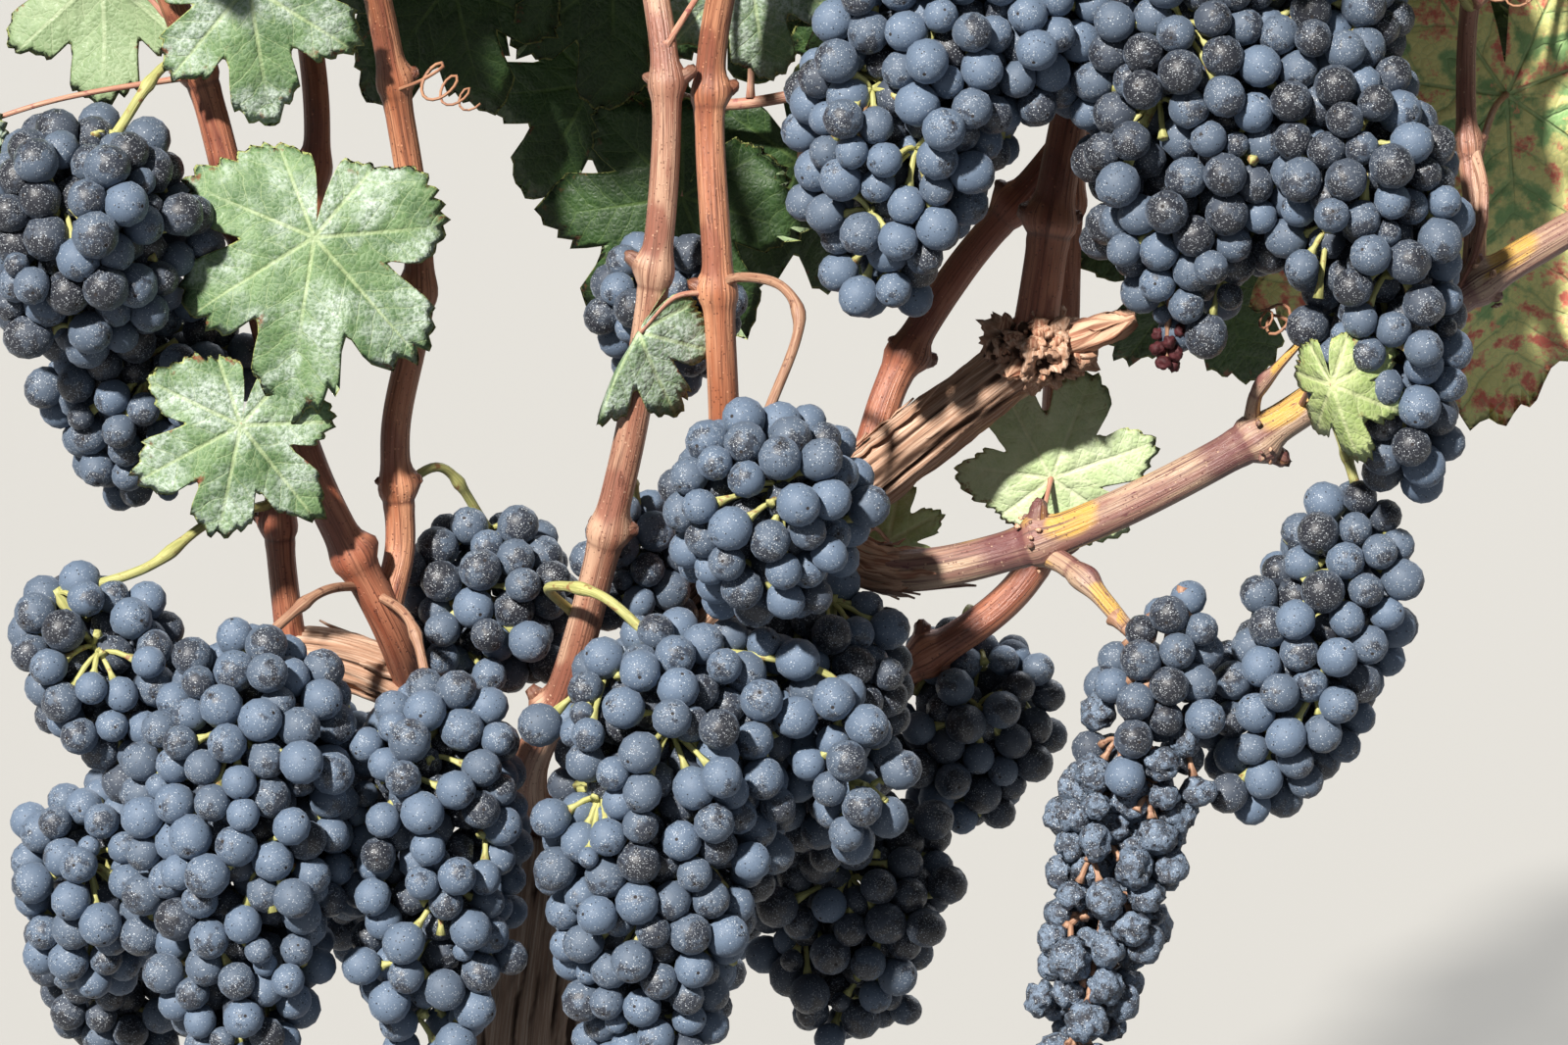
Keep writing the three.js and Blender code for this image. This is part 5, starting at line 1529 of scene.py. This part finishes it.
def shoot_line(bearer, *path):
    """The line of a shoot, which runs straight on from the end of its cane at first."""
    before, end = (np.array(point) for point in CANES[bearer].path[-2:])
    start = end + unit(end - before) * SHOOT_GAP
    return smooth_line([start, start + unit(end - before) * SHOOT_STRAIGHT, *path])


def shoot_shape(joints, phase, seed):
    """Radius of a green shoot: its taper, fine furrows and a swelling at each joint."""

    def shape(distance, turn, along):
        to_joint = ((along * joints - phase + .5) % 1 - .5) * JOINT_SPACING
        swelling = .35 * bump(to_joint, 0, .004) + .03 * relief(distance, turn, 1.6, 8, seed, 2)
        return taper(SHOOT_RADII, along) * (1 + swelling), .4

    return shape


def top_leaf(at, heading, number, along, draw):
    """A leaf at a joint of a shoot, by the frame's rule."""
    size, rise = JOINT_LEAVES[number]
    angle = heading + number * 2 * math.pi / len(JOINT_LEAVES) + .5 * (next(draw) - .5)
    outward = np.array((math.cos(angle), math.sin(angle), 0))
    base = at + outward * TOP_LEAF_STALK * size * (.83 + .34 * next(draw)) + (0, 0, rise)
    tipward = unit(outward - (0, 0, .6 + .8 * next(draw)))
    length = TOP_LEAF_LENGTH * size * (.86 + .24 * next(draw)) * (1 - .25 * along)
    return Leaf(at, base, tipward, length, .8 * outward + (0, 0, 1))


def is_in_frame(leaf, corners):
    """Whether the frame has this leaf: the middle of its upper side is one of the node's corners."""
    forward, _, up = leaf_axes(leaf)
    middle = leaf.base + (BLADE_MIDDLE[0] * forward + BLADE_MIDDLE[1] * up) * leaf.length
    return np.linalg.norm(corners - middle, axis=1).min() < .001


def is_within(leaf):
    """Whether a leaf stays in the space that the whole vine has in the frame."""
    tip = leaf.base + unit(leaf.tipward) * leaf.length
    low, high = np.array(cad_box[0]) - REACH_MARGIN, np.array(cad_box[1]) + REACH_MARGIN
    return (tip > low).all() and (tip < high).all()


def side_twig(at, heading, rng):
    """A side twig from a joint, with leaves on its two sides by turns. Gives the twig and its leaves."""
    lean = TWIG_LEAN * (CROWN_MIDDLE - at[1])
    direction = unit(np.array((math.cos(heading), math.sin(heading) + lean, rng.uniform(.1, 1.3))))
    aside = np.cross(direction, (0, 0, 1))
    tip = at + direction * rng.uniform(*TWIG_LENGTHS)
    leaves = []
    for number in range(TWIG_LEAVES):
        share = (number + 1) / TWIG_LEAVES
        out = unit(aside * (-1) ** number * rng.uniform(.5, 1.1) + direction * rng.uniform(.3, 1))
        foot = at + (tip - at) * share
        base = foot + out * rng.uniform(.010, .020)
        tipward = out - (0, 0, rng.uniform(.2, 1.2))
        facing = .8 * out + rng.uniform(-.35, .35, 3) + (0, 0, 1)
        curl, length = rng.uniform(.6, 2), rng.uniform(*TWIG_LEAF_LENGTHS) * (1.15 - .45 * share)
        leaves.append(Leaf(foot, base, tipward, length, facing, curl))
    return stalk([at, (at + tip) / 2 + (0, 0, .004), tip], TWIG_RADII, .5, 5, 0, .005), leaves


def tendril(start, outward, reach, turns, seed):
    """A wiry tendril that runs straight out, then winds up into a coil that tightens towards its tip."""
    start, ahead = np.array(start), unit(outward) * reach
    points = [start, start + ahead * .35 + (0, 0, reach * .1)]
    for step in range(1, COIL_STEPS * turns):
        share = step / (COIL_STEPS * turns)
        angle = share * turns * 2 * math.pi + seed
        centre = start + ahead * (.4 + .5 * share) + (0, 0, reach * (.1 - .25 * share))
        round_it = np.array((math.cos(angle), .7 * math.sin(angle), math.sin(angle + .6)))
        points.append(centre + COIL_RADIUS * (1 - .6 * share) * round_it)
    return tube(smooth_line(points), lambda along: taper(TENDRIL_RADII, along), 5, .0022, 0, .4)


shoot_finish = stem_finish("green_shoot", *SHOOT_COLOURS)
for number, (name, shoot) in enumerate(TOPS.items()):
    line = shoot_line(*shoot)
    corners = np.array([corner.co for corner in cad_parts[name].data.vertices])
    draw = source_numbers(700 + 13 * number)
    rng = np.random.default_rng(300 + number)
    joints = round((len(line) - 1) * .001 / JOINT_SPACING)
    turn, phase = next(draw) * 2 * math.pi, .3 + .55 * next(draw)
    blades, twigs = [], [limb(line, shoot_shape(joints, phase, number), 10, .005)]
    for joint in range(joints):
        along = (joint + phase) / joints
        heading = turn + joint * math.pi + .7 * (next(draw) - .5)
        at = line[round(along * (len(line) - 1))]
        spray = rng.choice(len(TOP_FINISHES), p=TOP_SHARES)
        small = []
        for twig in range(TWIGS):
            wood, leaves = side_twig(at, heading + (twig + .5) * math.pi + rng.uniform(-.6, .6), rng)
            twigs.append(wood)
            small += [leaf for leaf in leaves if is_within(leaf)]
        for side in range(len(JOINT_LEAVES)):
            leaf = top_leaf(at, heading, side, along, draw)
            if is_in_frame(leaf, corners):
                leaf.facing = leaf.facing + rng.uniform(-.3, .3, 3)
                leaf.tipward = leaf.tipward + rng.uniform(-.2, .2, 3)
                leaf.curl, leaf.fold = rng.uniform(.5, 1.8), rng.uniform(0, .35)
                paint = spray if rng.random() < SPRAY_SHARE else rng.choice(len(TOP_FINISHES), p=TOP_SHARES)
                blades.append(blade(leaf, TOP_DETAIL, rng.uniform(1, 90), paint, closed=False))
                twigs.append(leaf_stalk(leaf, 1, 5, .006))
        for leaf in small:
            blades.append(blade(leaf, TWIG_DETAIL, rng.uniform(1, 90), min(spray, 1), closed=False))
            twigs.append(leaf_stalk(leaf, 1, 4, .007))
        if joint % 3:
            out = (math.cos(heading + math.pi), math.sin(heading + math.pi), .2)
            twigs.append(tendril(at, out, rng.uniform(.04, .06), 2, joint))
    for young in range(TIP_LEAVES):
        angle, size = young * GOLDEN_ANGLE, 1 - .7 * young / TIP_LEAVES
        out = np.array((math.cos(angle), math.sin(angle), .4))
        foot = line[-1 - int(TIP_REACH * size)]
        base, facing = foot + out * TIP_LEAF_STALK * size, .8 * out + (0, 0, 1)
        leaf = Leaf(foot, base, out - (0, 0, .4), TIP_LEAF_LENGTH * size, facing)
        if is_within(leaf):
            blades.append(blade(leaf, TIP_DETAIL, rng.uniform(1, 90), 0, closed=False))
            twigs.append(leaf_stalk(leaf, 1, 4, .005))
    piece(name + "_leaves", blades, [leaf_finishes[finish] for finish in TOP_FINISHES], "leaves", name)
    piece(name + "_shoot", twigs, [shoot_finish, leaf_stalk_finish], "leaves")

# The dry tendrils among the fruit: wiry brown ends of last month's growth, which grew out of the joints of
# the canes and coiled where they found no hold.
DRY_TENDRILS = {  # start, heading, reach and turns
    "left_inner_tendril": ((-.041, .001, .757), (.8, -.5, .1), .038, 3),
    "left_outer_tendril": ((-.092, -.009, .714), (-.3, -.8, .4), .024, 2),
    "right_cane_tendril": ((.262, -.036, .679), (-.6, -.3, .5), .024, 2),
    "upright_shoot_tendril": ((.320, .004, .790), (.6, -.7, .1), .030, 2),
}
DRY_TENDRIL_COLOURS = ((.42, .22, .12), (.28, .12, .07), (.1, .04, .03))
dry_finish = stem_finish("dry_tendril", *DRY_TENDRIL_COLOURS)
for number, (name, spec) in enumerate(DRY_TENDRILS.items()):
    piece(name, [tendril(*spec, number)], [dry_finish], "cane_wood")
